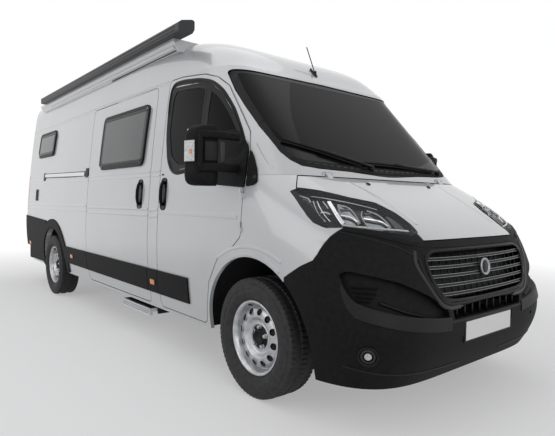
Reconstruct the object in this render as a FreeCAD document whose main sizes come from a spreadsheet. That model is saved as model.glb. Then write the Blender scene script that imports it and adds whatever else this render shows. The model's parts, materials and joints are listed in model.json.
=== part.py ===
"""A high-roof camper van built on a long panel van: hollow body, hinged doors and bonnet, steered front wheels."""
import FreeCAD, Part
import math
import os
from FreeCAD import Matrix, Placement, Rotation, Vector

os.makedirs("parts", exist_ok=True)
doc = FreeCAD.newDocument("camper_van")

# Driving dimensions, in millimetres. Stations are measured rearwards from the front bumper, heights from the ground.
SIZES = [
    ("overall_length", 6363),
    ("body_width", 2050),
    ("roof_height", 2515),
    ("wheelbase", 4035),
    ("front_overhang", 948),
    ("front_track", 1790),
    ("rear_track", 1830),
    ("tyre_radius", 360),
    ("tyre_width", 222),
    ("rim_radius", 205),
    ("panel_gap", 7),
    ("running_gap", 0.3),
    ("wall", 60),
    ("roof_wall", 45),
    ("glass", 6),
    ("glass_inset", 7),
    ("bumper_bottom", 240),
    ("sill_bottom", 315),
    ("bonnet_edge_height", 975),
    ("screen_base_height", 1330),
    ("drip_height", 2105),
    ("floor_top", 560),
    ("floor_thickness", 50),
    ("screen_base_station", 724),
    ("screen_top_station", 1404),
    ("door_front_station", 1048),
    ("door_rear_station", 2150),
    ("slide_front_station", 2330),
    ("slide_rear_station", 3780),
    ("rear_door_half", 780),
    ("rear_door_bottom", 520),
    ("rear_door_top", 2230),
    ("awning_length", 3750),
    ("awning_base", 2409),
    ("step_width", 560),
]

sheet = doc.addObject("Spreadsheet::Sheet", "sizes")
for row, (alias, value) in enumerate(SIZES, start=1):
    sheet.set(f"A{row}", alias)
    sheet.set(f"B{row}", str(value))
    sheet.setAlias(f"B{row}", alias)
doc.recompute()


def size(alias):
    return float(getattr(sheet, alias))


LENGTH = size("overall_length")
HALF = size("body_width") / 2
FRONT_AXLE = size("front_overhang")
REAR_AXLE = FRONT_AXLE + size("wheelbase")
BELT = 850.0
TOP = size("roof_height")
EDGE = size("bonnet_edge_height")
BASE = size("screen_base_height")
DRIP = size("drip_height")
FAR = 3000.0
NOSE_POINTS = 13

ASIDE = Vector(1, 0, 0)
BACK = Vector(0, 1, 0)
UP = Vector(0, 0, 1)


def along(station):
    """The Y of a station."""
    return station - LENGTH / 2


def share(value, low, high):
    return (value - low) / (high - low)


def half_width(z):
    if z <= BELT:
        return HALF - 50 * share(z, BELT, size("sill_bottom")) ** 2
    if z <= DRIP:
        return HALF - 103 * share(z, BELT, DRIP) ** 1.5
    t = share(z, DRIP, TOP)
    return HALF - 103 - 50 * t - 170 * t**6


def nose_station(z):
    """Where the centre line's front face stands at a height."""
    bumper = 520.0
    if z <= bumper:
        return 95 * share(z, bumper, size("bumper_bottom")) ** 2
    if z <= EDGE:
        return 105 * share(z, bumper, EDGE) ** 1.7
    if z <= BASE:
        return 105 + (size("screen_base_station") - 105) * share(z, EDGE, BASE) ** 1.22
    if z <= DRIP:
        return size("screen_base_station") + (size("screen_top_station") - size("screen_base_station")) * share(
            z, BASE, DRIP
        )
    t = share(z, DRIP, TOP)
    return size("screen_top_station") + 430 * t + 720 * t**4.5


def nose_form(z):
    """Exponents of the plan curve and the station where it meets the straight side."""
    if z <= EDGE:
        t = max(share(z, 520, EDGE), 0)
        return 6 - 2 * t, 4 - t, 1000.0
    if z <= BASE:
        t = share(z, EDGE, BASE)
        return 4 + 7 * t, 3.0, 1000 + 500 * t
    if z <= DRIP:
        t = share(z, BASE, DRIP)
        return 11 + 2 * t, 3.0, 1500 + 800 * t
    t = share(z, DRIP, TOP)
    return 13 - 8 * t, 3 - 0.5 * t, 2300 + 1300 * t


def tail_station(z):
    lean = 12 * share(z, 500, DRIP) if z <= DRIP else 12 + 30 * share(z, DRIP, TOP) + 140 * share(z, DRIP, TOP) ** 6
    return LENGTH - 45 - lean


def spread(points, count):
    """The points along a curve at even steps of length and of turning taken together."""
    steps = [0.0]
    for i in range(1, len(points)):
        run = (points[i] - points[i - 1]).Length
        turn = 0.0
        if 1 < i:
            turn = (points[i] - points[i - 1]).getAngle(points[i - 1] - points[i - 2]) if run > 0 else 0.0
        steps.append(steps[-1] + run + 700 * turn)
    out = []
    k = 0
    for n in range(count):
        target = steps[-1] * n / (count - 1)
        while k < len(steps) - 2 and steps[k + 1] < target:
            k += 1
        part = (target - steps[k]) / max(steps[k + 1] - steps[k], 1e-9)
        out.append(points[k] + (points[k + 1] - points[k]) * part)
    return out


def plan_wire(z, level, inset, push):
    """The right half of the body's plan outline at a height, set in by inset, drawn at level."""
    w = half_width(z) - inset
    power, blend, start = nose_form(z)
    front = nose_station(z) + push
    depth = start - front
    dense = []
    for i in range(161):
        a = math.pi / 2 * i / 160
        x = w * math.sin(a) ** (2 / power)
        d = depth * max(math.cos(a), 0.0) ** (2 / blend)
        dense.append(Vector(-x, along(start - d), level))
    points = spread(dense, NOSE_POINTS)
    points[0] = Vector(0, along(front), level)
    points[-1] = Vector(-w, along(start), level)
    marks = [n / (NOSE_POINTS - 1) for n in range(NOSE_POINTS)]
    nose = Part.BSplineCurve()
    nose.interpolate(
        Points=points, Parameters=marks, InitialTangent=Vector(-1, 0, 0), FinalTangent=Vector(0, 1, 0)
    )
    tail = along(tail_station(z) - inset)
    r = max(95 - inset, 20.0)
    k = r * (1 - math.sqrt(0.5))
    corners = [
        Vector(-w, along(start), level), Vector(-w, tail - r, level), Vector(k - w, tail - k, level),
        Vector(r - w, tail, level), Vector(0, tail, level), Vector(0, along(front), level),
    ]
    side = Part.LineSegment(corners[0], corners[1])
    corner = Part.Arc(corners[1], corners[2], corners[3])
    back = Part.LineSegment(corners[3], corners[4])
    middle = Part.LineSegment(corners[4], corners[5])
    return Part.Wire([edge.toShape() for edge in (nose, side, corner, back, middle)])


def envelope(inset=0.0, names=("lower", "bonnet", "screen", "roof")):
    """The body's outer form, or that form set in by a wall, as stacked bands that meet at the crease lines."""
    low = size("bumper_bottom") - (150 if inset > 0 else 0)
    bands = {
        "lower": (low, EDGE, 6, 1.0, 1.7),
        "bonnet": (EDGE, BASE, 4, 1.7, 1.3),
        "screen": (BASE, DRIP, 4, 1.3, 1.3),
        "roof": (DRIP, TOP, 7, 1.3, 1.3),
    }
    solids = []
    for name in names:
        first, last, count, near, far = bands[name]
        wires = []
        for i in range(count):
            t = i / (count - 1)
            if name == "roof":
                t = 1 - (1 - t) ** 1.6
            z = first + (last - first) * t
            sink = size("roof_wall") * share(z, DRIP, TOP) if inset > 0 and name == "roof" else 0
            push = near + (far - near) * (t if name == "bonnet" else t**4)
            wires.append(plan_wire(max(z, size("bumper_bottom")), z - sink, inset, inset * push))
        solids.append(Part.makeLoft(wires, True, False))
    return solids[0].fuse(solids[1:]) if len(solids) > 1 else solids[0]


def outline(points, radius=0.0, grow=0.0):
    """A flat face through the points, its sharp corners rounded and its edge grown outwards by a margin."""
    corners = [Vector(u, v, 0) for u, v in points]
    ends = []
    for i, corner in enumerate(corners):
        back = corners[i - 1] - corner
        on = corners[(i + 1) % len(corners)] - corner
        half = back.getAngle(on) / 2
        reach = min(radius / math.tan(half), 0.45 * back.Length, 0.45 * on.Length)
        if reach < 1 or half > math.radians(78):
            ends.append((corner, None, corner))
            continue
        r = reach * math.tan(half)
        split = (back.normalize() + on.normalize()).normalize()
        ends.append((corner + back * reach, corner + split * (r / math.sin(half) - r), corner + on * reach))
    edges = []
    for i, (start, middle, end) in enumerate(ends):
        if middle:
            edges.append(Part.Arc(start, middle, end).toShape())
        edges.append(Part.LineSegment(end, ends[(i + 1) % len(ends)][0]).toShape())
    face = Part.Face(Part.Wire(edges))
    return face.makeOffset2D(grow, join=2) if grow else face


def placed(solid, matrix):
    solid.Placement = Placement(matrix).multiply(solid.Placement)
    return solid


def from_side(points, x0, x1, radius=0.0, grow=0.0):
    """A solid whose side view is the outline, points being (station, height)."""
    solid = outline(points, radius, grow).extrude(Vector(0, 0, x1 - x0))
    return placed(solid, Matrix(0, 0, 1, x0, 1, 0, 0, -LENGTH / 2, 0, 1, 0, 0, 0, 0, 0, 1))


def from_front(points, s0, s1, radius=0.0, grow=0.0):
    """A solid whose front view is the outline, points being (x, height)."""
    solid = outline(points, radius, grow).extrude(Vector(0, 0, s0 - s1))
    return placed(solid, Matrix(1, 0, 0, 0, 0, 0, -1, along(s0), 0, 1, 0, 0, 0, 0, 0, 1))


def from_top(points, z0, z1, radius=0.0, grow=0.0):
    """A solid whose plan is the outline, points being (x, station)."""
    solid = outline(points, radius, grow).extrude(Vector(0, 0, z1 - z0))
    return placed(solid, Matrix(1, 0, 0, 0, 0, 1, 0, -LENGTH / 2, 0, 0, 1, z0, 0, 0, 0, 1))


def block(x0, x1, s0, s1, z0, z1):
    return Part.makeBox(x1 - x0, s1 - s0, z1 - z0, Vector(x0, along(s0), z0))


def rod(x, station, z, radius, length, axis):
    """A cylinder that starts at a point and runs along an axis."""
    return Part.makeCylinder(radius, length, Vector(x, along(station), z), axis)


def flipped(shape):
    """The same shape on the other side of the centre plane."""
    return shape.mirror(Vector(0, 0, 0), Vector(1, 0, 0))


def both(shape):
    """A shape that reaches the centre plane, joined to its mirror image."""
    return shape.fuse(flipped(shape)).removeSplitter()


def pair(shape):
    """A shape clear of the centre plane together with its mirror image."""
    return Part.makeCompound([shape, flipped(shape)])


def arch(axle, radius, x0, x1):
    """A wheel arch's opening, with straight sides below the hub."""
    hub = size("tyre_radius")
    return rod(x0, axle, hub, radius, x1 - x0, ASIDE).fuse(block(x0, x1, axle - radius, axle + radius, 0, hub))


NODES = []


def add(label, shape):
    """A sub-part whose shape is worked out in code from the sheet's sizes."""
    feature = doc.addObject("Part::Feature", label)
    feature.Label = label
    feature.Shape = shape
    NODES.append(feature)


def bound(kind, label, **values):
    """A document object whose properties follow expressions in the sheet's sizes."""
    item = doc.addObject(kind, label)
    item.Label = label
    for name, rule in values.items():
        item.setExpression(name.replace("_at_", ".Base.").replace("__", "."), rule)
    return item


def station_rule(rule):
    return f"({rule}) - sizes.overall_length / 2"


def brick(label, x, s, z):
    """A box between pairs of rules for x, station and height."""
    return bound(
        "Part::Box", label,
        Length=f"({x[1]}) - ({x[0]})", Width=f"({s[1]}) - ({s[0]})", Height=f"({z[1]}) - ({z[0]})",
        Placement_at_x=x[0], Placement_at_y=station_rule(s[0]), Placement_at_z=z[0],
    )


def group(kind, label, items):
    item = doc.addObject(kind, label)
    item.Label = label
    if kind == "Part::Cut":
        item.Base, item.Tool = items
    elif kind == "Part::Compound":
        item.Links = items
    else:
        item.Shapes = items
    return item


def keep(item):
    NODES.append(item)
    return item


GAP = size("panel_gap")
DOOR_S = size("door_front_station")
DOOR_R = size("door_rear_station")
REAR_HALF = size("rear_door_half")
REAR_LOW = size("rear_door_bottom")
FLOOR = size("floor_top")
CHASSIS = FLOOR - size("floor_thickness")
HUB = size("tyre_radius")
SILL = size("sill_bottom")
KINGPIN = 740
STRUT = 24
BALL_PIN = 12
STUB = 30
FIT = size("running_gap")
FRONT_HUB = size("front_track") / 2 + 20
REAR_HUB = size("rear_track") / 2 + 20
TOW_EYE = 12
TOW_EYE_FRONT = (560, 480)
TOW_EYE_REAR = (-600, 420)

CAB_DOOR = [
    (DOOR_S, 1285), (1062, 1480), (1110, 1606), (1255, 1790), (1400, 1945), (1520, 2020), (1660, 2062),
    (1960, 2090), (DOOR_R - 18, 2090), (DOOR_R, 1500), (DOOR_R, 345), (1475, 345), (1462, 420), (1405, 640),
    (1290, 810), (1120, 900), (DOOR_S, 960),
]
CAB_WINDOW = [
    (1075, 1440), (1150, 1575), (1290, 1755), (1440, 1905), (1570, 1980), (1700, 2008), (2045, 2028), (2090, 1960),
    (2105, 1700), (2040, 1480), (1900, 1395),
]
SLIDE_DOOR = [(size("slide_front_station"), 345), (size("slide_front_station"), 2075),
              (size("slide_rear_station"), 2075), (size("slide_rear_station"), 345)]
REAR_SIDE_WINDOW = [(5115, 1715), (5800, 1715), (5760, 2005), (5075, 2005)]
SLIDE_WINDOW = [(2480, 1465), (3460, 1465), (3430, 1950), (2440, 1950)]
REAR_DOOR = [
    (60, REAR_LOW), (60, size("rear_door_top")), (60 - REAR_HALF, size("rear_door_top")), (-REAR_HALF, 2020),
    (-REAR_HALF, REAR_LOW),
]
REAR_WINDOW = [(-110, 1430), (-110, 1980), (145 - REAR_HALF, 1980), (110 - REAR_HALF, 1430)]
SCREEN = [
    (60, 1347), (-93, 1351), (-374, 1369), (-636, 1375), (-764, 1387), (-817, 1421), (-845, 1470), (-855, 1547),
    (-868, 1640), (-871, 1784), (-867, 1907), (-847, 2072), (60, 2085),
]
BONNET = [
    (5, 60), (-419, 60), (-488, 120), (-500, 222), (-530, 296), (-580, 400), (-700, 475), (-820, 575), (-905, 672),
    (-830, 748), (-780, 790), (5, 790),
]
LAMP = [
    (-483, 1018), (-558, 1006), (-770, 1038), (-865, 1046), (-926, 1040), (-946, 1065), (-949, 1100), (-946, 1152),
    (-934, 1234), (-902, 1251), (-820, 1236), (-690, 1199), (-540, 1172), (-490, 1120), (-476, 1060),
]
GRILLE = [(5, 916), (-455, 916), (-534, 886), (-526, 794), (-484, 700), (-430, 665), (5, 655)]
BUMPER_SIDE = [
    (-50, 0), (-50, 1060), (330, 1060), (363, 1028), (390, 997), (409, 965), (433, 908), (454, 871), (530, 833),
    (640, 762), (640, 0),
]
BUMPER_FRONT = [(5, 0), (-FAR, 0), (-FAR, 1080), (5, 1080)]
SCOOP = [
    (-939, 818), (-915, 834), (-727, 782), (-560, 706), (-425, 621), (-405, 515), (-767, 592), (-905, 644),
    (-930, 700),
]
INTAKE = [(5, 563), (-372, 566), (-384, 626), (5, 640)]
DOOR_ZONE = [
    (-FAR, 200), (-FAR, 2200), (-845, 2200), (-860, 2070), (-880, 1900), (-911, 1600), (-937, 1300), (-950, 850),
    (-915, 340), (-915, 200),
]
ARCH_TRIM = [
    (5200, 770), (5240, 890), (LENGTH - 13, 935), (LENGTH - 13, REAR_LOW + 2), (LENGTH - 288, REAR_LOW + 2),
    (LENGTH - 288, 345), (5430, 345),
]
TAIL_LAMP = [(-REAR_HALF - 25, 1010), (-FAR, 1010), (-FAR, 1480), (-REAR_HALF - 25, 1480)]

outer = envelope()
inner = envelope(size("wall"))
shell = outer.cut(inner)
rear_shell = shell.common(block(-FAR, 0, DOOR_R + GAP, LENGTH, 0, FAR))
front_shell = shell.common(block(-FAR, 0, -10, DOOR_R + GAP, 0, FAR))
front_bands = ("lower", "bonnet")
front_skin = outer.common(block(-FAR, 0, -50, DOOR_R + GAP, 0, BASE)).cut(envelope(25, front_bands))
behind = size("glass_inset") + size("glass")
pane = envelope(size("glass_inset"), ("screen",)).cut(envelope(behind, ("screen",)))
front_pane = pane.common(block(-FAR, 0, 0, DOOR_R, 0, FAR))
lower_trim = envelope(-12, ("lower",)).cut(outer)


def hinge(x, station, z, radius, fixed_leaf, moving_leaf):
    """Both halves of a hinge on an upright axis: a barrel and pin on one leaf, a bored barrel on the other."""
    tall = 30
    pin = 0.45 * radius
    fixed = rod(x, station, z, radius, tall, UP)
    fixed = fixed.fuse([rod(x, station, z, pin, 2 * tall, UP), fixed_leaf(z, z + tall)])
    moving = rod(x, station, z + tall + FIT, radius, tall - FIT, UP).fuse(moving_leaf(z + tall + FIT, z + 2 * tall))
    return fixed, moving.cut(rod(x, station, z + tall, pin + FIT, tall, UP))


def cab_hinges():
    x, station = -size("body_width") / 2 - 2, DOOR_S - 2
    halves = [
        hinge(
            x, station, z, 6,
            lambda low, high: block(x - 4, x + 5, station - 16, station, low, high).fuse(
                block(x - 4, x + 27, station - 16, station - 5, low, high)),
            lambda low, high: block(x - 4, x + 5, station, station + 16, low, high).fuse(
                block(x - 4, x + 27, station + 5, station + 16, low, high)),
        )
        for z in (985, 1190)
    ]
    return [half[0] for half in halves], [half[1] for half in halves]


REAR_HINGE = (-REAR_HALF - 5, LENGTH - 40)
REAR_HINGE_HEIGHTS = (680, 1290, 1880)


def rear_hinges():
    x, station = REAR_HINGE
    halves = [
        hinge(
            x, station, z, 9,
            lambda low, high: block(x - 19, x - 2, station - 28, station + 3, low, high),
            lambda low, high: block(x + 2, x + 30, station - 28, station + 3, low, high),
        )
        for z in REAR_HINGE_HEIGHTS
    ]
    return [half[0] for half in halves], [half[1] for half in halves]


def rear_hinge_room():
    """The room that the rear hinges' barrels need in the panels beside them."""
    x, station = REAR_HINGE
    return [rod(x, station, z - 2, 11, 64, UP) for z in REAR_HINGE_HEIGHTS]


def bonnet_hinge():
    """A pin between two ears on the windscreen frame, and the bonnet's arm that turns on it."""
    x, station, z = -600, size("screen_base_station") + 14, BASE + 15
    ears = [block(x + start, x + start + 14, station - 8, station + 42, z - 12, z + 8) for start in (-42, 28)]
    fixed = rod(x - 42, station, z, 5, 84, ASIDE).fuse(ears)
    pocket = rod(x - 28, station, z, 17, 56, ASIDE).fuse(block(x - 28, x + 28, station - 60, station, z - 40, z + 24))
    arm = from_side([(station - 68, z - 55), (station - 33, z - 23), (station - 5, z + 8), (station + 8, z - 7),
                     (station - 26, z - 49), (station - 48, z - 65)], x - 20, x + 20)
    arm = arm.fuse(rod(x - 20, station, z, 10, 40, ASIDE)).cut(rod(x - 21, station, z, 5 + FIT, 42, ASIDE))
    return fixed, pocket, arm


cab_fixed, cab_moving = cab_hinges()
rear_fixed, rear_moving = rear_hinges()
bonnet_fixed, bonnet_pocket, bonnet_arm = bonnet_hinge()


def side_wall():
    """One load space side wall, from the cab door's rear edge round to the rear doors."""
    tail = from_front(REAR_DOOR, LENGTH - 400, LENGTH + 10, 30, GAP)
    wall = rear_shell.common(block(-FAR, 0, 0, LENGTH, SILL, DRIP))
    low_corner = block(-FAR, 0, LENGTH - 290, LENGTH, 0, REAR_LOW)
    lamp = from_front(TAIL_LAMP, LENGTH - 190, LENGTH)
    wall = wall.cut([arch(REAR_AXLE, 455, -FAR, 0), tail, low_corner, lamp] + rear_hinge_room())
    return wall.fuse(rear_fixed)


def right_wall(wall):
    return wall.cut([from_side(SLIDE_DOOR, -FAR, 0, 45, GAP), from_side(REAR_SIDE_WINDOW, -FAR, 0, 60)])


def left_wall(wall):
    return flipped(wall.cut([from_side(REAR_SIDE_WINDOW, -FAR, 0, 60), from_side(SLIDE_WINDOW, -FAR, 0, 60)]))


wall = side_wall()
add("body_side_right", right_wall(wall))
add("body_side_left", left_wall(wall))

roof = shell.common(block(-FAR, 0, 0, LENGTH, DRIP, FAR))
roof = both(roof.cut(from_front(REAR_DOOR, LENGTH - 400, LENGTH + 10, 30, GAP)))
rail_top = size("awning_base")
rail = from_front([(-935, rail_top), (-935, rail_top - 22), (-890, rail_top - 90), (-700, rail_top - 90),
                   (-700, rail_top)], 2070, 5840)
add("roof", roof.fuse(rail.cut(inner)))

door_zone = from_front(DOOR_ZONE, 900, 2300)
door_hole = from_side(CAB_DOOR, -FAR, 0, 40, GAP).common(from_front(DOOR_ZONE, 900, 2300, 0, GAP))
screen_hole = from_front(SCREEN, 500, 1700, 40)
cab_ring = front_shell.common(block(-FAR, 0, 600, DOOR_R + GAP, BASE, DRIP)).cut([door_hole, screen_hole])
add("cab_frame", both(cab_ring.cut(bonnet_pocket).fuse(bonnet_fixed)))

cowl = inner.common(block(-FAR, 0, 735, 1060, BASE - 60, BASE)).cut(block(-FAR, 0, 775, 1020, BASE - 80, BASE - 20))
bulkhead = inner.common(block(-FAR, 0, 1020, 1060, 850, BASE - 60))
toe_board = block(-552, 0, 1020, 1060, CHASSIS, 850)
add("firewall", both(cowl.fuse([bulkhead, toe_board])))

bonnet_hole = from_top(BONNET, EDGE, BASE + 20, 0, GAP - 1)
lamp_tool = from_front(LAMP, 0, 1020, 15)
grille_tool = from_front(GRILLE, 0, 500, 20)
front_arch = arch(FRONT_AXLE, 485, -FAR, 0)
bonnet = front_skin.common(from_top(BONNET, EDGE + 6, BASE - 7)).cut(from_front(LAMP, 0, 1020, 15, 5))
add("bonnet", both(bonnet.fuse(bonnet_arm)))
bumper_room = from_side(BUMPER_SIDE, -FAR, 5, 0, 4).common(from_front(BUMPER_FRONT, -60, 700, 0, 4))
wings = front_skin.common(block(-FAR, 0, 0, DOOR_R + GAP, SILL, BASE - 1))
wings = wings.cut([bonnet_hole, lamp_tool, grille_tool, door_hole, front_arch, bumper_room])
add("front_wings", both(wings.fuse(cab_fixed)))
bumper = front_shell.common(from_side(BUMPER_SIDE, -FAR, 5)).common(from_front(BUMPER_FRONT, -60, 700))
recess = from_front(SCOOP, -60, 500, 25).cut(envelope(30, ("lower",)))
plate_seat = block(-275, 5, -60, 9, 422, 548)
bumper = bumper.cut([front_arch, grille_tool, lamp_tool, bonnet_hole, recess, plate_seat])
bumper = bumper.cut(from_front(INTAKE, -60, 300, 15))
add("front_bumper", both(bumper).cut(rod(TOW_EYE_FRONT[0], -50, TOW_EYE_FRONT[1], TOW_EYE, 300, BACK)))
add("grille", both(front_shell.common(grille_tool)))
add("headlamps", pair(front_shell.common(lamp_tool)))
add("windscreen", both(front_pane.common(screen_hole)))

cab_door = front_shell.common(from_side(CAB_DOOR, -FAR, 0, 40).common(door_zone))
cab_door = cab_door.cut(from_side(CAB_WINDOW, -FAR, 0, 40))
cab_door = cab_door.fuse(cab_moving)
cab_glass = front_pane.common(from_side(CAB_WINDOW, -FAR, -840, 40))
rear_window = from_front(REAR_WINDOW, LENGTH - 400, LENGTH, 50)
rear_door = rear_shell.common(from_front(REAR_DOOR, LENGTH - 400, LENGTH, 30)).cut(rear_window)
rear_door = rear_door.cut([block(-4, 70, 0, LENGTH, 0, FAR)] + rear_hinge_room()).fuse(rear_moving)
rear_glass = pane.common(rear_window)
mirror_head = from_top([(-1112, 1140), (-1150, 1128), (-1262, 1180), (-1287, 1262), (-1268, 1288), (-1120, 1232)],
                       1262, 1628, 22)
mirror_head = mirror_head.makeFillet(16, [edge for edge in mirror_head.Edges if edge.BoundBox.ZLength < 1])
mirror_arms = [
    from_top([(-900, 1096), (-1130, 1150), (-1130, 1190), (-900, 1140)], low, low + 46) for low in (1330, 1470)
]
mirror = mirror_head.fuse([mirror_arms[0].cut(outer), mirror_arms[1].cut(outer)])
strip_line = block(-FAR, 0, 1680, DOOR_R, 440, 625)
cab_strip = lower_trim.common(strip_line)
for side, turned in (("right", lambda shape: shape), ("left", flipped)):
    add(f"cab_door_{side}", turned(cab_door))
    add(f"cab_glass_{side}", turned(cab_glass))
    add(f"mirror_{side}", turned(mirror))
    add(f"cab_strip_{side}", turned(cab_strip))
    add(f"rear_door_{side}", turned(rear_door))
    add(f"rear_glass_{side}", turned(rear_glass))

slide = rear_shell.common(from_side(SLIDE_DOOR, -FAR, 0, 45)).cut(from_side(SLIDE_WINDOW, -FAR, 0, 60))
add("sliding_door", slide)
tail_lamp = rear_shell.common(from_front(TAIL_LAMP, LENGTH - 190, LENGTH))
add("tail_lamps", pair(tail_lamp))

frames = envelope(-16, ("screen",)).cut(envelope(10, ("screen",)))
big = frames.common(from_side(SLIDE_WINDOW, -FAR, 0, 60))
small = frames.common(from_side(REAR_SIDE_WINDOW, -FAR, 0, 60))
add("camper_windows", Part.makeCompound([big, small, flipped(big), flipped(small)]))

strip_ends = [(DOOR_R + GAP, 2326), (2334, 3776), (3784, 4520)]
strips = [lower_trim.common(block(-FAR, 0, start, end, 440, 625)) for start, end in strip_ends]
arch_trim = lower_trim.common(from_side(ARCH_TRIM, -FAR, -935)).cut(arch(REAR_AXLE, 455, -FAR, 0))
trims = strips + [arch_trim]
add("side_strips", Part.makeCompound(trims + [flipped(trim) for trim in trims]))

floor = block(-FAR, 0, 1440, LENGTH - 118, CHASSIS, FLOOR).fuse(block(-552, 0, 1060, 1440, CHASSIS, FLOOR))
rails = [
    block(-480, -400, 20, 1020, CHASSIS, FLOOR),
    block(-480, -400, 990, LENGTH - 118, 430, CHASSIS),
]
sills = [block(-930, -850, 1470, 4480, 350, CHASSIS)]
under = floor.cut(arch(REAR_AXLE, 461, -FAR, -640)).fuse(rails + sills).common(inner)
add("underbody", both(under))


def liner(axle, radius, x_end):
    """A thin wheel housing with a closed inner end, open below."""
    housing = arch(axle, radius + 6, -FAR, x_end).cut(arch(axle, radius, -FAR, x_end - 6))
    return housing.common(block(-FAR, 0, 0, LENGTH, 330, FAR))


front_liner = liner(FRONT_AXLE, 485, -552)
front_liner = front_liner.common(envelope(25, ("lower",))).cut(bumper)
tower = rod(-KINGPIN, FRONT_AXLE, 735, 40, 110, UP).cut(rod(-KINGPIN, FRONT_AXLE, 735, STRUT + FIT, 80, UP))
add("front_wheel_housings", pair(front_liner.fuse(tower.common(front_arch))))
axle_slot = block(-660, -630, REAR_AXLE - 70, REAR_AXLE + 70, 300, 440)
add("rear_wheel_housings", pair(liner(REAR_AXLE, 455, -640).common(inner).cut(axle_slot)))

rear_low = [(-985, LENGTH - 290), (-985, LENGTH - 120), (-930, LENGTH - 30), (-800, LENGTH), (5, LENGTH),
            (5, LENGTH - 110), (-900, LENGTH - 110), (-900, LENGTH - 290)]
rear_bumper = from_top(rear_low, 335, REAR_LOW - GAP, 30).common(block(-FAR, 0, 0, LENGTH, 0, FAR))
rear_bumper = both(rear_bumper.cut(block(-FAR, 0, 0, LENGTH - 118, CHASSIS, FLOOR)))
add("rear_bumper", rear_bumper.cut(rod(TOW_EYE_REAR[0], LENGTH - 200, TOW_EYE_REAR[1], TOW_EYE, 300, BACK)))

low = size("awning_base")
case = [(-985, low), (-985, low + 66), (-960, low + 84), (-872, low + 106), (-852, low + 98), (-852, low + 36),
        (-872, low)]
add("awning", from_front(case, 1900, 1900 + size("awning_length"), 14))

antenna = rod(0, 1490, 2100, 16, 112, UP).cut([outer, flipped(outer)])
add("antenna", antenna.fuse(rod(0, 1490, 2205, 4, 240, Vector(0, 0.4, 0.9))))

hatches = [block(-300, 300, start, start + 480, TOP, TOP + 60) for start in (2500, 4500)]
add("roof_hatches", Part.makeCompound([hatch.makeFillet(20, hatch.Edges[:4]) for hatch in hatches]))


def revolved(points):
    """A ring about the X axis from (x, radius) points."""
    wire = Part.makePolygon([Vector(x, r, 0) for x, r in points + points[:1]])
    return Part.Face(wire).revolve(Vector(0, 0, 0), ASIDE, 360)


def faceted(points, sides):
    """A ring about the X axis made of flat facets, with a flat at the bottom, from (x, radius) points."""
    rows = []
    for x, r in points:
        corner = r / math.cos(math.pi / sides)
        angles = [(k + 0.5) * 2 * math.pi / sides - math.pi / 2 for k in range(sides)]
        rows.append([Vector(x, corner * math.cos(angle), corner * math.sin(angle)) for angle in angles])
    faces = []
    for i, row in enumerate(rows):
        beyond = rows[(i + 1) % len(rows)]
        for k in range(sides):
            m = (k + 1) % sides
            faces.append(Part.Face(Part.makePolygon([row[k], row[m], beyond[m], beyond[k], row[k]])))
    solid = Part.makeSolid(Part.makeShell(faces))
    if solid.Volume < 0:
        solid.reverse()
    return solid


def rim_shape():
    """A steel rim and its pierced disc, its outer face towards +X."""
    w = size("tyre_width") / 2
    r = size("rim_radius")
    barrel = revolved([
        (-w + 8, r + 14), (-w + 8, r - 9), (w - 8, r - 9), (w - 8, r + 14), (w - 18, r + 14), (w - 18, r), (18 - w, r),
        (18 - w, r + 14),
    ])
    bore = STUB + FIT
    disc = revolved([
        (28, r - 9), (37, r - 9), (62, 120), (62, 95), (40, 88), (40, bore), (31, bore), (31, 95), (53, 102),
        (53, 115), (28, 165),
    ])
    holes = []
    for i in range(12):
        hole = rod(0, LENGTH / 2, 0, 16, 100, ASIDE)
        hole.translate(Vector(0, 152 * math.cos(math.pi * i / 6), 152 * math.sin(math.pi * i / 6)))
        holes.append(hole)
    return barrel.fuse(disc).cut(holes)


def tyre_shape():
    w = size("tyre_width") / 2
    r = size("rim_radius")
    profile = [
        (-w + 24, r), (w - 24, r), (w, r + 75), (w - 7, HUB - 15), (w - 23, HUB), (23 - w, HUB), (7 - w, HUB - 15),
        (-w, r + 75),
    ]
    return faceted(profile, 72)


rim_out, tyre_ring = rim_shape(), tyre_shape()
rim_in = flipped(rim_out)


def wheel(side, name, x, station):
    """A rim and its tyre on one hub."""
    hub = Vector(side * x, along(station), HUB)
    rim = rim_in if side < 0 else rim_out
    for label, shape in ((f"rim_{name}", rim), (f"tyre_{name}", tyre_ring)):
        copy = shape.copy()
        copy.translate(hub)
        add(label, copy)


for end, track, station in (("front", "front_track", FRONT_AXLE), ("rear", "rear_track", REAR_AXLE)):
    wheel(-1, f"{end}_right", size(track) / 2, station)
    wheel(1, f"{end}_left", size(track) / 2, station)

knuckle = block(-772, -708, FRONT_AXLE - 43, FRONT_AXLE + 43, 240, 470)
knuckle = knuckle.fuse([
    rod(-FRONT_HUB, FRONT_AXLE, HUB, 60, FRONT_HUB - 760, ASIDE),
    rod(-FRONT_HUB - 20, FRONT_AXLE, HUB, STUB, 60, ASIDE),
    rod(-KINGPIN, FRONT_AXLE, 460, STRUT, 345, UP),
]).cut(rod(-KINGPIN, FRONT_AXLE, 230, BALL_PIN + FIT, 40, UP))
add("knuckle_right", knuckle)
add("knuckle_left", flipped(knuckle))

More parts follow.
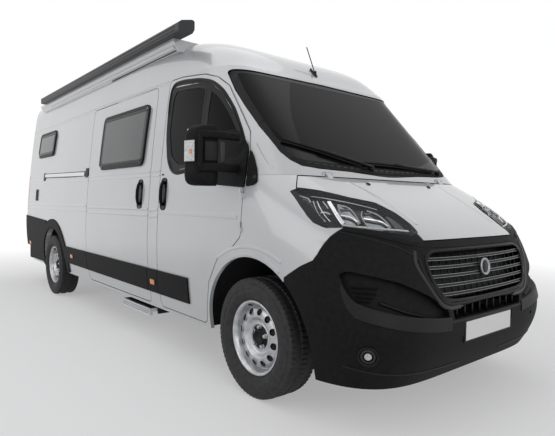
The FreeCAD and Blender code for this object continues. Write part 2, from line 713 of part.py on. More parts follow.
arm = block(-770, 5, FRONT_AXLE - 35, FRONT_AXLE + 35, 200, 232).fuse(rod(-KINGPIN, FRONT_AXLE, 230, BALL_PIN, 35, UP))
cradle = block(-480, 5, 760, 1060, 232, 300).fuse(block(-480, -400, 920, 980, 300, CHASSIS))
cradle = cradle.fuse(block(-480, -400, 760, 820, 300, CHASSIS))
add("front_axle", both(arm.fuse(cradle)))
keep(brick("engine", ("-330", "330"), ("430", "990"), ("300", "930")))
axle = rod(-REAR_HUB, REAR_AXLE, HUB, 45, REAR_HUB + 5, ASIDE)
axle = axle.fuse([
    rod(-REAR_HUB, REAR_AXLE, HUB, 62, 120, ASIDE),
    rod(-REAR_HUB - 20, REAR_AXLE, HUB, STUB, 60, ASIDE),
    rod(-150, REAR_AXLE, HUB, 130, 155, ASIDE),
    block(-570, -510, 4330, 5640, 400, 430),
    block(-570, -510, 4330, 4380, 400, CHASSIS),
    block(-570, -510, 5590, 5640, 400, CHASSIS),
])
add("rear_axle", both(axle))

pipe = rod(-200, 1100, 380, 28, 3500, BACK).fuse([
    rod(-200, 2600, 380, 85, 600, BACK), block(-210, -190, 2890, 2910, 400, CHASSIS),
    block(-210, -190, 1500, 1520, 390, CHASSIS),
])
add("exhaust", pipe)
keep(brick("fuel_tank", ("500", "840"), ("1500", "2300"), ("250", "510")))
keep(brick("waste_tank", ("-840", "-490"), ("3100", "4100"), ("270", "510")))

step = size("step_width")
s0 = 2315
housing = block(-930, -560, s0, s0 + step, 300, 312).fuse([
    block(-930, -560, s0, s0 + 12, 240, 312), block(-930, -560, s0 + step - 12, s0 + step, 240, 312),
    block(-845, -835, s0, s0 + 30, 312, 352), block(-845, -560, s0, s0 + 30, 312, CHASSIS),
    block(-845, -560, s0 + step - 30, s0 + step, 312, CHASSIS),
])
add("step_frame", housing)
tread = block(-1000, -700, s0 + 12 + FIT, s0 + step - 12 - FIT, 262, 290)
tread = tread.fuse(block(-1004, -980, s0 - 2, s0 + step + 2, 236, 292))
add("step_tread", tread)

keep(brick("dashboard", ("-840", "840"), ("1060", "1330"), ("950", "1170")))
column = Vector(430, along(1500), 1120)
tilt = Rotation(ASIDE, -62)
grip = [(15 * math.cos(math.pi * k / 4), 185 + 15 * math.sin(math.pi * k / 4)) for k in range(8)]
wheel_ring = faceted(grip, 28)
wheel_ring.rotate(Vector(0, 0, 0), BACK, -90)
wheel_ring = wheel_ring.fuse([
    Part.makeCylinder(60, 40, Vector(0, 0, -30)), Part.makeBox(370, 40, 20, Vector(-185, -20, -20)),
    Part.makeCylinder(30, 330, Vector(0, 0, -350)),
])
wheel_ring.Placement = Placement(column, tilt)
add("steering_wheel", wheel_ring.cut(block(-840, 840, 1000, 1330, 900, 1170)))

seat_back = from_side([(1990, 900), (2100, 900), (2230, 1560), (2140, 1560)], -740, -240, 30)
seat_base = block(-730, -250, 1600, 2080, FLOOR, 800)
seat = seat_base.fuse([block(-745, -235, 1560, 2090, 800, 900), seat_back])
add("cab_seats", pair(seat))
kitchen = brick("kitchen_unit", ("420", "900"), ("2400", "3500"), ("560", "1400"))
washroom = brick("washroom", ("300", "840"), ("3560", "4350"), ("560", "2080"))
bed_base = brick("bed_base", ("-600", "600"), ("4400", "6150"), ("560", "1000"))
keep(group("Part::Compound", "furniture", [kitchen, washroom, bed_base]))
keep(brick("mattress", ("-850", "850"), ("4380", "6180"), ("1000", "1160")))

doc.recompute()
for node in NODES:
    shape = node.Shape
    if shape.isNull() or not shape.isValid() or "Invalid" in node.State or "Error" in node.State:
        raise RuntimeError(f"{node.Label} did not build")
    shape.exportStep(f"parts/{node.Label}.step")
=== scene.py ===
"""The looks of the camper van: camera, light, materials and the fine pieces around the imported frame."""

import bmesh
import bpy
import json
import math
from mathutils import Matrix, Vector
from mathutils.bvhtree import BVHTree
from mathutils.geometry import delaunay_2d_cdt


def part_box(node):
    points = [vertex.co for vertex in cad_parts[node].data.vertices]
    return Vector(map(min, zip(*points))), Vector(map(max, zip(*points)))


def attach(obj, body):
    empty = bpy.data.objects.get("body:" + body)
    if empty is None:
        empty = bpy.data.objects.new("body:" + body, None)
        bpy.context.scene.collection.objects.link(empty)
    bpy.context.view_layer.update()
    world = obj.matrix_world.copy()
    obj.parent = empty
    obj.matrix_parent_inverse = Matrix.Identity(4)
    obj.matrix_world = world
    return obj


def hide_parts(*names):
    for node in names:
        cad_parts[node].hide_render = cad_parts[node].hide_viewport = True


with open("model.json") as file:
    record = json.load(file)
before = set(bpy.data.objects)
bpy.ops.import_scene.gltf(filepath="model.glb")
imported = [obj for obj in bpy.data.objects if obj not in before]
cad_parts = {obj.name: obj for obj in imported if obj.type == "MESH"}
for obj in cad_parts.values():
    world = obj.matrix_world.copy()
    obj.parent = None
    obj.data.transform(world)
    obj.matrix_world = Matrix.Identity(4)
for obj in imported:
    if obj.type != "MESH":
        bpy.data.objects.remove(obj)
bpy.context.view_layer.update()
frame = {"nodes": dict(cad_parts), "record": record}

HALF_LENGTH = 3.1815
SIDES = (("right", -1), ("left", 1))
FRONT_AXLE, REAR_AXLE, HUB = 0.948, 4.983, 0.36
scene = bpy.context.scene


def at(x, station, z):
    """A point from its side offset, its distance behind the front bumper and its height, in metres."""
    return Vector((x, station - HALF_LENGTH, z))


# Materials


def new_material(name, colour, roughness=0.5, metallic=0.0, coat=0.0, alpha=1.0, sheen=0.0, specular=0.5):
    """A material with its plain values."""
    material = bpy.data.materials.new(name)
    material.use_nodes = True
    shader = material.node_tree.nodes["Principled BSDF"]
    shader.inputs["Base Color"].default_value = (*colour, 1)
    shader.inputs["Roughness"].default_value = roughness
    shader.inputs["Metallic"].default_value = metallic
    shader.inputs["Coat Weight"].default_value = coat
    shader.inputs["Alpha"].default_value = alpha
    shader.inputs["Sheen Weight"].default_value = sheen
    shader.inputs["Specular IOR Level"].default_value = specular
    return material


def noise_of(tree, scale, detail=4, stretch=None):
    """A noise texture in the object's own space."""
    place = tree.nodes.new("ShaderNodeTexCoord")
    noise = tree.nodes.new("ShaderNodeTexNoise")
    noise.inputs["Scale"].default_value = scale
    noise.inputs["Detail"].default_value = detail
    source = place.outputs["Object"]
    if stretch:
        mapping = tree.nodes.new("ShaderNodeMapping")
        mapping.inputs["Scale"].default_value = stretch
        tree.links.new(source, mapping.inputs["Vector"])
        source = mapping.outputs["Vector"]
    tree.links.new(source, noise.inputs["Vector"])
    return noise.outputs["Fac"]


def grained(material, scale, depth, spread=0.0, stretch=None):
    """Adds a fine bump, and an uneven roughness, from noise."""
    tree = material.node_tree
    shader = tree.nodes["Principled BSDF"]
    grain = noise_of(tree, scale, 4, stretch)
    bump = tree.nodes.new("ShaderNodeBump")
    bump.inputs["Strength"].default_value = 0.4
    bump.inputs["Distance"].default_value = depth
    tree.links.new(grain, bump.inputs["Height"])
    tree.links.new(bump.outputs["Normal"], shader.inputs["Normal"])
    if spread:
        span = tree.nodes.new("ShaderNodeMapRange")
        base = shader.inputs["Roughness"].default_value
        span.inputs["To Min"].default_value = base - spread
        span.inputs["To Max"].default_value = base + spread
        tree.links.new(grain, span.inputs["Value"])
        tree.links.new(span.outputs["Result"], shader.inputs["Roughness"])
    return material


def mottled(material, scale, low, high):
    """Lets the colour wander between two shades."""
    tree = material.node_tree
    ramp = tree.nodes.new("ShaderNodeValToRGB")
    ramp.color_ramp.elements[0].position = 0.35
    ramp.color_ramp.elements[1].position = 0.65
    ramp.color_ramp.elements[0].color = (*low, 1)
    ramp.color_ramp.elements[1].color = (*high, 1)
    tree.links.new(noise_of(tree, scale), ramp.inputs["Fac"])
    tree.links.new(ramp.outputs["Color"], tree.nodes["Principled BSDF"].inputs["Base Color"])
    return material


paint = mottled(
    grained(new_material("body_paint", (0.5, 0.51, 0.52), 0.3, 0.15, 0.9), 900, 0.00002),
    1.3, (0.485, 0.495, 0.505), (0.515, 0.525, 0.535),
)
textured = mottled(
    grained(new_material("textured_black", (0.005, 0.005, 0.005), 0.6, specular=0.12), 1600, 0.0004, 0.08),
    40, (0.004, 0.004, 0.004), (0.0075, 0.0075, 0.0078),
)
gloss = grained(new_material("gloss_black", (0.004, 0.004, 0.004), 0.2, specular=0.16), 500, 0.00002, 0.03)
trim = grained(new_material("dark_trim", (0.004, 0.004, 0.0042), 0.45, specular=0.2), 900, 0.0001, 0.05)
grey_band = grained(new_material("grey_band", (0.03, 0.0305, 0.031), 0.4, 0.2, specular=0.3), 900, 0.00003,
                    0.04)
clear = grained(new_material("lamp_clear", (0.3, 0.31, 0.32), 0.03, alpha=0.1), 8, 0.0001)
bowl = grained(new_material("lamp_bowl", (0.02, 0.021, 0.022), 0.3, 0.4, specular=0.3), 300, 0.0001, 0.05)
smoke = grained(new_material("lamp_smoke", (0.006, 0.006, 0.006), 0.12, coat=0.3, specular=0.4), 300, 0.0001,
                0.03)
reflecting = grained(new_material("reflector", (0.75, 0.76, 0.78), 0.16, 1.0), 60, 0.0002, 0.05)
satin = grained(new_material("satin_metal", (0.32, 0.33, 0.34), 0.3, 0.9), 200, 0.0001, 0.05)
frosted = mottled(new_material("lamp_lens", (0.5, 0.51, 0.52), 0.15, coat=0.5), 80, (0.4, 0.41, 0.42),
                  (0.62, 0.63, 0.64))
red = mottled(new_material("lamp_red", (0.3, 0.01, 0.01), 0.1, 0.0, 0.6), 60, (0.26, 0.008, 0.008),
              (0.36, 0.012, 0.012))
charcoal = grained(new_material("charcoal", (0.009, 0.009, 0.0095), 0.5, specular=0.2), 1600, 0.0003, 0.06)
amber = mottled(new_material("amber", (0.75, 0.22, 0.02), 0.15, 0.0, 0.5), 90, (0.65, 0.18, 0.02),
                (0.85, 0.28, 0.03))
# Near opaque and nearly black: partly the glass's own tint, partly painted shade of the dark cab behind it.
glass = grained(new_material("tint_and_shade_glass", (0.003, 0.0034, 0.0034), 0.03, alpha=0.94, specular=0.07), 2,
                0.0002)
acrylic = mottled(
    grained(new_material("acrylic", (0.06, 0.063, 0.066), 0.1, coat=0.2, alpha=0.97, specular=0.3), 3,
            0.0006),
    2, (0.05, 0.053, 0.056), (0.072, 0.075, 0.078),
)
chassis = grained(new_material("chassis", (0.012, 0.012, 0.012), 0.6, specular=0.3), 60, 0.0005, 0.1)
silver = mottled(
    grained(new_material("wheel_silver", (0.5, 0.51, 0.53), 0.32, 0.7), 500, 0.00005, 0.05),
    25, (0.42, 0.43, 0.44), (0.56, 0.57, 0.59),
)
rubber = mottled(
    grained(new_material("rubber", (0.02, 0.02, 0.02), 0.7, specular=0.35), 300, 0.0004, 0.08),
    30, (0.018, 0.018, 0.018), (0.032, 0.0315, 0.031),
)
iron = grained(new_material("hub_iron", (0.03, 0.03, 0.03), 0.55, 0.5), 80, 0.0006, 0.1)
anthracite = mottled(
    grained(new_material("awning_case", (0.03, 0.031, 0.033), 0.4, specular=0.3), 700, 0.0001),
    3, (0.027, 0.028, 0.03), (0.038, 0.039, 0.042),
)
aluminium = grained(new_material("aluminium", (0.7, 0.71, 0.73), 0.35, 1.0), 200, 0.0001, 0.08, (1, 0.02, 1))
plastic = grained(new_material("cab_plastic", (0.012, 0.012, 0.013), 0.65, specular=0.25), 900, 0.0002, 0.05)
cloth = mottled(
    grained(new_material("seat_cloth", (0.025, 0.025, 0.026), 0.9, sheen=0.2), 600, 0.0006),
    300, (0.018, 0.018, 0.019), (0.036, 0.036, 0.038),
)
board = mottled(
    grained(new_material("board", (0.5, 0.44, 0.36), 0.45), 30, 0.0001, 0.0, (1, 1, 0.1)),
    6, (0.45, 0.39, 0.31), (0.55, 0.48, 0.4),
)
bedding = mottled(
    grained(new_material("bedding", (0.5, 0.5, 0.48), 0.9, sheen=0.4), 400, 0.0006),
    5, (0.46, 0.46, 0.44), (0.55, 0.55, 0.53),
)
white_plate = grained(new_material("plate_white", (0.75, 0.75, 0.73), 0.35), 400, 0.00005, 0.04)

FINISHES = {
    "body_paint": paint, "black_plastic": textured, "gloss_black": gloss, "lamp_clear": clear,
    "lamp_red": red,
    "window_glass": glass, "acrylic": acrylic, "chassis_steel": chassis, "wheel_steel": silver,
    "tyre_rubber": rubber, "hub_iron": iron, "awning_case": anthracite, "aluminium": aluminium,
    "cab_plastic": plastic, "seat_cloth": cloth, "furniture_board": board, "mattress": bedding,
}
for part in frame["record"]["subparts"]:
    node = frame["nodes"][part["node"]]
    node.data.materials.clear()
    node.data.materials.append(FINISHES[part["material_slot"]])


# Finding the body's surface


def tree_of(names):
    """A search tree over the faces of some nodes."""
    points, faces = [], []
    for name in names:
        mesh = frame["nodes"][name].data
        start = len(points)
        points += [vertex.co.copy() for vertex in mesh.vertices]
        faces += [[start + i for i in face.vertices] for face in mesh.polygons]
    return BVHTree.FromPolygons(points, faces)


SHELL = [
    "body_side_right", "body_side_left", "roof", "cab_frame", "bonnet", "front_wings", "front_bumper",
    "grille",
    "headlamps", "windscreen", "cab_door_right", "cab_door_left", "cab_glass_right", "cab_glass_left",
    "rear_door_right", "rear_door_left", "rear_glass_right", "rear_glass_left", "sliding_door", "tail_lamps",
    "camper_windows",
]
skin = tree_of(SHELL)

# Where the rays start, how deep a gap is passed over and how far beside a ray the skin is looked for again
FAR = 6.0
DIP = 0.02
STEP_IN = 2.5
LOOK_PAST = [-0.012, 0.012]
CORNER_LOOK_PAST = [-0.008, 0.008]


def cast(start, direction, steps):
    """The skin's point and outward normal along a ray, looking past the shut lines."""
    found = []
    for step in [Vector((0, 0, 0))] + steps:
        point, normal, _, distance = skin.ray_cast(start + step, direction)
        if point:
            found.append((distance, point - step, normal))
    if not found:
        point, normal, _, distance = skin.find_nearest(start + direction * (start.length - STEP_IN))
        found.append((distance, point, normal))
    nearest = min(found, key=lambda item: item[0])
    distance, point, normal = found[0] if found[0][0] < nearest[0] + DIP else nearest
    if normal.dot(direction) > 0:
        normal = -normal
    return point, normal


def on_front(x, z, lift=0.0):
    """The skin's point and normal on the front, from the side offset and the height."""
    point, normal = cast(Vector((x, -FAR, z)), Vector((0, 1, 0)), [Vector((d, 0, 0)) for d in LOOK_PAST])
    return point + normal * lift, normal


def on_back(x, z, lift=0.0):
    """The skin's point and normal on the rear, from the side offset and the height."""
    point, normal = cast(Vector((x, FAR, z)), Vector((0, -1, 0)), [Vector((d, 0, 0)) for d in LOOK_PAST])
    return point + normal * lift, normal


def on_side(side):
    """A mapper from (station, height) to the skin on one side, -1 being the right."""

    def mapper(station, z, lift=0.0):
        start = Vector((side * FAR, station - HALF_LENGTH, z))
        point, normal = cast(start, Vector((-side, 0, 0)), [Vector((0, d, 0)) for d in LOOK_PAST])
        return point + normal * lift, normal

    return mapper


right, left = on_side(-1), on_side(1)
SLANT = math.sqrt(0.5)


def on_corner(side):
    """A mapper to the skin of one front corner, from the distance across a diagonal view and the height."""

    def mapper(across, z, lift=0.0):
        x, station = across * SLANT - FAR, -across * SLANT - FAR
        start = Vector((-side * x, station - HALF_LENGTH, z))
        along = [Vector((-side * d, -d, 0)) for d in CORNER_LOOK_PAST]
        point, normal = cast(start, Vector((-side, 1, 0)).normalized(), along)
        return point + normal * lift, normal

    return mapper


CORNERS = (("right", on_corner(-1)), ("left", on_corner(1)))


def nose_hull():
    """The bumper's outer form with its hollows bridged."""
    form = bmesh.new()
    form.from_mesh(frame["nodes"]["front_bumper"].data)
    bmesh.ops.convex_hull(form, input=form.verts)
    tree = BVHTree.FromBMesh(form)
    form.free()
    return tree


nose = nose_hull()


def bridged(side):
    """A mapper like the corner's, onto the bumper with its hollows bridged."""

    def mapper(across, z, lift=0.0):
        x, station = across * SLANT - FAR, -across * SLANT - FAR
        start = Vector((-side * x, station - HALF_LENGTH, z))
        point, normal, _, _ = nose.ray_cast(start, Vector((-side, 1, 0)).normalized())
        return point + normal * lift, normal

    return mapper


# Making pieces


def new_piece(name, points, faces, material, body="van", smooth=False):
    """A mesh object that rides on a body, which is the van unless another is named."""
    mesh = bpy.data.meshes.new(name)
    mesh.from_pydata([tuple(point) for point in points], [], faces)
    mesh.validate()
    mesh.update()
    piece = bpy.data.objects.new(name, mesh)
    scene.collection.objects.link(piece)
    mesh.materials.append(material)
    for face in mesh.polygons:
        face.use_smooth = smooth
    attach(piece, body)
    return piece


def softened(piece, width, segments=2):
    """Bevels a piece's edges."""
    bevel = piece.modifiers.new("bevel", "BEVEL")
    bevel.width = width
    bevel.segments = segments
    bevel.limit_method = "ANGLE"
    return piece


def ring_faces(rows, count, capped=True, closed=False):
    """Faces between rows of points that each form a ring, with caps at both ends or joined in a loop."""
    faces = []
    for i in range(rows if closed else rows - 1):
        here, onward = i * count, (i + 1) % rows * count
        for k in range(count):
            m = (k + 1) % count
            faces.append((here + k, here + m, onward + m, onward + k))
    if capped:
        faces += [tuple(reversed(range(count))), last_row(rows, count)]
    return faces


def last_row(rows, count):
    """The cap over the last row of points."""
    return tuple((rows - 1) * count + k for k in range(count))


# The most of a side that one rounded corner takes
CORNER_SHARE = 0.45


def rounded(points, radius, closed=True, step=0.02):
    """The outline with its corners turned into short arcs and its long sides divided."""
    count = len(points)
    corners = []
    for i in range(count):
        here = Vector(points[i])
        if not closed and i in (0, count - 1):
            corners.append([here])
            continue
        before, after = Vector(points[i - 1]) - here, Vector(points[(i + 1) % count]) - here
        reach = min(radius, before.length * CORNER_SHARE, after.length * CORNER_SHARE)
        start, end = here + before.normalized() * reach, here + after.normalized() * reach
        corners.append([start.lerp(here, t).lerp(here.lerp(end, t), t) for t in (0, 0.25, 0.5, 0.75, 1)])
    out = []
    for i, corner in enumerate(corners):
        out += corner
        if i == count - 1 and not closed:
            break
        gap = corners[(i + 1) % count][0] - corner[-1]
        parts = int(gap.length / step) + 1
        out += [corner[-1] + gap * (k / parts) for k in range(1, parts)]
    return [tuple(point) for point in out]


def rectangle(x0, z0, x1, z1, radius, step=0.02):
    """A rectangle's outline with rounded corners."""
    return rounded([(x0, z0), (x1, z0), (x1, z1), (x0, z1)], radius, True, step)


# The width of a narrowed band at its start, as a share of its full width
START_SHARE = 0.12


def ribbon(name, path, onto, section, material, body="van", closed=False, taper=0.0):
    """A band along a path on the skin, its section given as (across, lift) points, narrowed at its start."""
    spots = [onto(u, v) for u, v in path]
    count = len(spots)
    points = []
    for i, (point, normal) in enumerate(spots):
        before = spots[i - 1][0] if closed or i > 0 else point
        after = spots[(i + 1) % count][0] if closed or i < count - 1 else point
        across = (after - before).cross(normal).normalized()
        share = min(1.0, START_SHARE + (1 - START_SHARE) * i / (count - 1) / taper) if taper else 1.0
        points += [point + across * u * share + normal * v for u, v in section]
    width = len(section)
    faces = ring_faces(count, width, False, closed)
    if not closed:
        faces += [tuple(range(width)), last_row(count, width)[::-1]]
    return new_piece(name, points, faces, material, body)


def flat_band(width, low, high, chamfer=0.001):
    """A thin rounded strip's section."""
    half = width / 2
    return [(-half, low), (-half, high - chamfer), (chamfer - half, high), (half - chamfer, high),
            (half, high - chamfer), (half, low)]


def spaced(points, count):
    """Evenly spaced points along a closed outline, from its first one."""
    closed = [Vector(p) for p in points] + [Vector(points[0])]
    lengths = [(b - a).length for a, b in zip(closed, closed[1:])]
    total, out = sum(lengths), []
    for k in range(count):
        left, i = total * k / count, 0
        while left > lengths[i]:
            left -= lengths[i]
            i += 1
        out.append(tuple(closed[i].lerp(closed[i + 1], left / lengths[i])))
    return out


# A flat frame's outer chamfer, the drop of its inner edge and the lean of its top
FRAME_CHAMFER, FRAME_SINK, FRAME_LEAN = 0.0015, 0.006, 0.08


def surround(name, outer, inner, onto, low, high, material, body="van", count=96):
    """A flat frame between two outlines that start at the same corner."""
    rings = []
    levels = [(outer, low), (outer, high - FRAME_CHAMFER), (outer, high), (inner, high),
              (inner, low - FRAME_SINK)]
    for outline, lift in levels:
        ring = spaced(outline, count)
        if outline is outer and lift == high:
            other = spaced(inner, count)
            ring = [tuple(Vector(a).lerp(Vector(b), FRAME_LEAN)) for a, b in zip(ring, other)]
        rings.append([onto(u, v)[0] + onto(u, v)[1] * lift for u, v in ring])
    points = [point for ring in rings for point in ring]
    return new_piece(name, points, ring_faces(len(rings), count, False), material, body)


def inside(x, y, outline):
    """Whether a point lies within a closed outline."""
    odd = False
    for (x0, y0), (x1, y1) in zip(outline, outline[1:] + outline[:1]):
        if (y0 > y) != (y1 > y) and x < (x1 - x0) * (y - y0) / (y1 - y0) + x0:
            odd = not odd
    return odd


def panel(name, outline, onto, low, high, material, body="van", step=0.04, crown=0.0):
    """A plate over the skin, its upper face at one lift and its edge down to another."""
    xs, ys = [p[0] for p in outline], [p[1] for p in outline]
    flat = [Vector(p) for p in outline]
    edge_count = len(flat)
    columns, rows = int((max(xs) - min(xs)) / step), int((max(ys) - min(ys)) / step)
    for i in range(1, columns + 1):
        for k in range(1, rows + 1):
            x = min(xs) + (max(xs) - min(xs)) * i / (columns + 1)
            y = min(ys) + (max(ys) - min(ys)) * k / (rows + 1)
            if inside(x, y, outline):
                flat.append(Vector((x, y)))
    edges = [(i, (i + 1) % edge_count) for i in range(edge_count)]
    spots, _, faces, *_ = delaunay_2d_cdt(flat, edges, [list(range(edge_count))], 1, 1e-7)
    middle = Vector((sum(xs) / len(xs), sum(ys) / len(ys)))
    reach = max((Vector(p) - middle).length for p in outline)
    points = []
    for spot in spots:
        bulge = crown * max(0.0, 1 - ((spot - middle).length / reach) ** 2)
        points.append(onto(spot.x, spot.y, high + bulge)[0])
    skirt = len(points)
    points += [onto(spots[i].x, spots[i].y, low)[0] for i in range(edge_count)]
    faces = [tuple(face) for face in faces]
    faces += [(i, skirt + i, skirt + k, k) for i, k in edges]
    return new_piece(name, points, faces, material, body)


# An end with a smaller radius is a point and gets no cap
CLOSED_RADIUS = 1e-6


def turned(name, profile, centre, axis, material, body="van", sides=48, smooth=True):
    """A round piece from (distance along the axis, radius) points."""
    axis = Vector(axis).normalized()
    side = axis.orthogonal().normalized()
    up = axis.cross(side)
    points = []
    for along, radius in profile:
        for k in range(sides):
            angle = 2 * math.pi * k / sides
            points.append(centre + axis * along + (side * math.cos(angle) + up * math.sin(angle)) * radius)
    faces = ring_faces(len(profile), sides, False)
    if profile[0][1] > CLOSED_RADIUS:
        faces.append(tuple(reversed(range(sides))))
    if profile[-1][1] > CLOSED_RADIUS:
        faces.append(last_row(len(profile), sides))
    return new_piece(name, points, faces, material, body, smooth)


def tube(name, path, radius, material, body="van", sides=12):
    """A round bar along points in the frame."""
    points = []
    for i, point in enumerate(path):
        before, after = path[max(i - 1, 0)], path[min(i + 1, len(path) - 1)]
        ahead = (after - before).normalized()
        side = ahead.cross(Vector((0.1, 0.2, 1))).normalized()
        up = side.cross(ahead)
        for k in range(sides):
            angle = 2 * math.pi * k / sides
            points.append(point + (side * math.cos(angle) + up * math.sin(angle)) * radius)
    return new_piece(name, points, ring_faces(len(path), sides), material, body, True)


BLOCK_FACES = [(0, 1, 3, 2), (4, 6, 7, 5), (0, 4, 5, 1), (2, 3, 7, 6), (0, 2, 6, 4), (1, 5, 7, 3)]


def bar(name, low, high, material, body="van", edge=0.003):
    """A bevelled block between two corners."""
    points = [(x, y, z) for x in (low[0], high[0]) for y in (low[1], high[1]) for z in (low[2], high[2])]
    return softened(new_piece(name, points, BLOCK_FACES, material, body), edge)


# How near the skin a face lies, and how far it turns to the front, to count as an outer one
OUTER_DEPTH = 0.004
OUTER_FACING = -0.04


def front_copy(name, node, keep_outer, material):
    """A copy of a front node's outer faces, or of all the others."""
    mesh = frame["nodes"][node].data
    faces = []
    for face in mesh.polygons:
        centre = face.center
        point, _ = on_front(centre.x, centre.z)
        outer = abs(point.y - centre.y) < OUTER_DEPTH and face.normal.y < OUTER_FACING
        if outer == keep_outer:
            faces.append(tuple(face.vertices))
    return new_piece(name, [vertex.co.copy() for vertex in mesh.vertices], faces, material)


def mirrored(onto, sign):
    """The mapper with its first measure times a sign, so that one side's points serve the other."""

    def mapper(x, z, lift=0.0):
        return onto(sign * x, z, lift)

    return mapper


# Camera and light


# The camera's angles, place, lens and shift
CAMERA_YAW, CAMERA_PITCH, CAMERA_ROLL = (math.radians(angle) for angle in (40.0, 2.11, 0.84))
CAMERA_PLACE = (-2.724, -4.5345, 1.176)
CAMERA_LENS, CAMERA_SENSOR = 31.67, 36
CAMERA_SHIFT = (-0.0043, 0.0022)


def set_camera():
    """The photograph's view."""
    ahead = math.cos(CAMERA_PITCH)
    forward = Vector((math.sin(CAMERA_YAW) * ahead, math.cos(CAMERA_YAW) * ahead, -math.sin(CAMERA_PITCH)))
    level = Vector((math.cos(CAMERA_YAW), -math.sin(CAMERA_YAW), 0))
    upward = level.cross(forward)
    across = level * math.cos(CAMERA_ROLL) + upward * math.sin(CAMERA_ROLL)
    top = across.cross(forward)
    camera = bpy.data.objects.new("camera", bpy.data.cameras.new("camera"))
    turn = Matrix((across, top, -forward)).transposed().to_4x4()
    camera.matrix_world = Matrix.Translation(CAMERA_PLACE) @ turn
    camera.data.sensor_width = CAMERA_SENSOR
    camera.data.lens = CAMERA_LENS
    camera.data.shift_x, camera.data.shift_y = CAMERA_SHIFT
    scene.collection.objects.link(camera)
    scene.camera = camera


def soft_light(name, place, aim, width, height, power):
    """A broad lamp that faces an aim."""
    data = bpy.data.lights.new(name, "AREA")
    data.shape = "RECTANGLE"
    data.size = width
    data.size_y = height
    data.energy = power
    lamp = bpy.data.objects.new(name, data)
    lamp.location = place
    lamp.rotation_euler = (Vector(aim) - Vector(place)).to_track_quat("-Z", "Y").to_euler()
    scene.collection.objects.link(lamp)


def combined(tree, operation, first, second):
    """One number worked out from two."""
    node = tree.nodes.new("ShaderNodeMath")
    node.operation = operation
    tree.links.new(first, node.inputs[0])
    tree.links.new(second, node.inputs[1])
    return node.outputs["Value"]


def shown_white(tree, lit, output, low, high, share):
    """Mixes in white for the camera, for reflections and through glass, more of it far from the middle."""
    shown = tree.nodes.new("ShaderNodeEmission")
    path = tree.nodes.new("ShaderNodeLightPath").outputs
    seen = combined(tree, "MAXIMUM", path["Is Camera Ray"], path["Is Transmission Ray"])
    seen = combined(tree, "MAXIMUM", seen, path["Is Glossy Ray"])
    place = tree.nodes.new("ShaderNodeTexCoord")
    reach = tree.nodes.new("ShaderNodeVectorMath")
    reach.operation = "LENGTH"
    tree.links.new(place.outputs["Object"], reach.inputs[0])
    fade = tree.nodes.new("ShaderNodeMapRange")
    fade.inputs["From Min"].default_value = low
    fade.inputs["From Max"].default_value = high
    fade.inputs["To Min"].default_value = share
    tree.links.new(reach.outputs["Value"], fade.inputs["Value"])
    mix = tree.nodes.new("ShaderNodeMixShader")
    tree.links.new(combined(tree, "MULTIPLY", seen, fade.outputs["Result"]), mix.inputs["Fac"])
    tree.links.new(lit, mix.inputs[1])
    tree.links.new(shown.outputs["Emission"], mix.inputs[2])
    tree.links.new(mix.outputs["Shader"], output)


def set_world():
    """A plain sky that looks white to the camera."""
    world = bpy.data.worlds.new("studio")
    world.use_nodes = True
    tree = world.node_tree
    lit = tree.nodes["Background"]
    lit.inputs["Color"].default_value = (0.96, 0.97, 1, 1)
    lit.inputs["Strength"].default_value = 0.5
    shown_white(tree, lit.outputs["Background"], tree.nodes["World Output"].inputs["Surface"], 0, 0.001, 1)
    scene.world = world


def set_studio():
    """A floor that fades to white, the sky and three lamps."""
    bpy.ops.mesh.primitive_plane_add(size=120, location=(0, 0, 0))
    floor = bpy.context.object
    floor.name = "floor"
    ground = new_material("floor", (0.8, 0.8, 0.8), 0.8)
    tree = ground.node_tree
    shader = tree.nodes["Principled BSDF"].outputs["BSDF"]
    shown_white(tree, shader, tree.nodes["Material Output"].inputs["Surface"], 3.5, 7.5, 0.35)
    floor.data.materials.append(ground)
    set_world()
    soft_light("overhead", (-1, 0, 7), (0, 0, 0), 6, 11, 95)
    soft_light("front", (-3, -10, 4), (0, -2, 1), 6, 4, 120)
    soft_light("side", (-10, 1, 4), (0, 0.5, 1), 10, 4, 130)


set_camera()
set_studio()


# Wheels


# The tyre's gap to the ground, its tread, its blocks and the ribs across it
TYRE_LIFT = 0.0008
TREAD_DEPTH = 0.008
SHOULDER_DROP = 0.004
NOTCH = TREAD_DEPTH * 0.7
TREAD_STEPS = 288
SHOULDERS, GROOVES = (0, 9), (2, 3, 6, 7)
RIBS = [-0.094, -0.066, -0.06, -0.026, -0.019, 0.019, 0.026, 0.06, 0.066, 0.094]


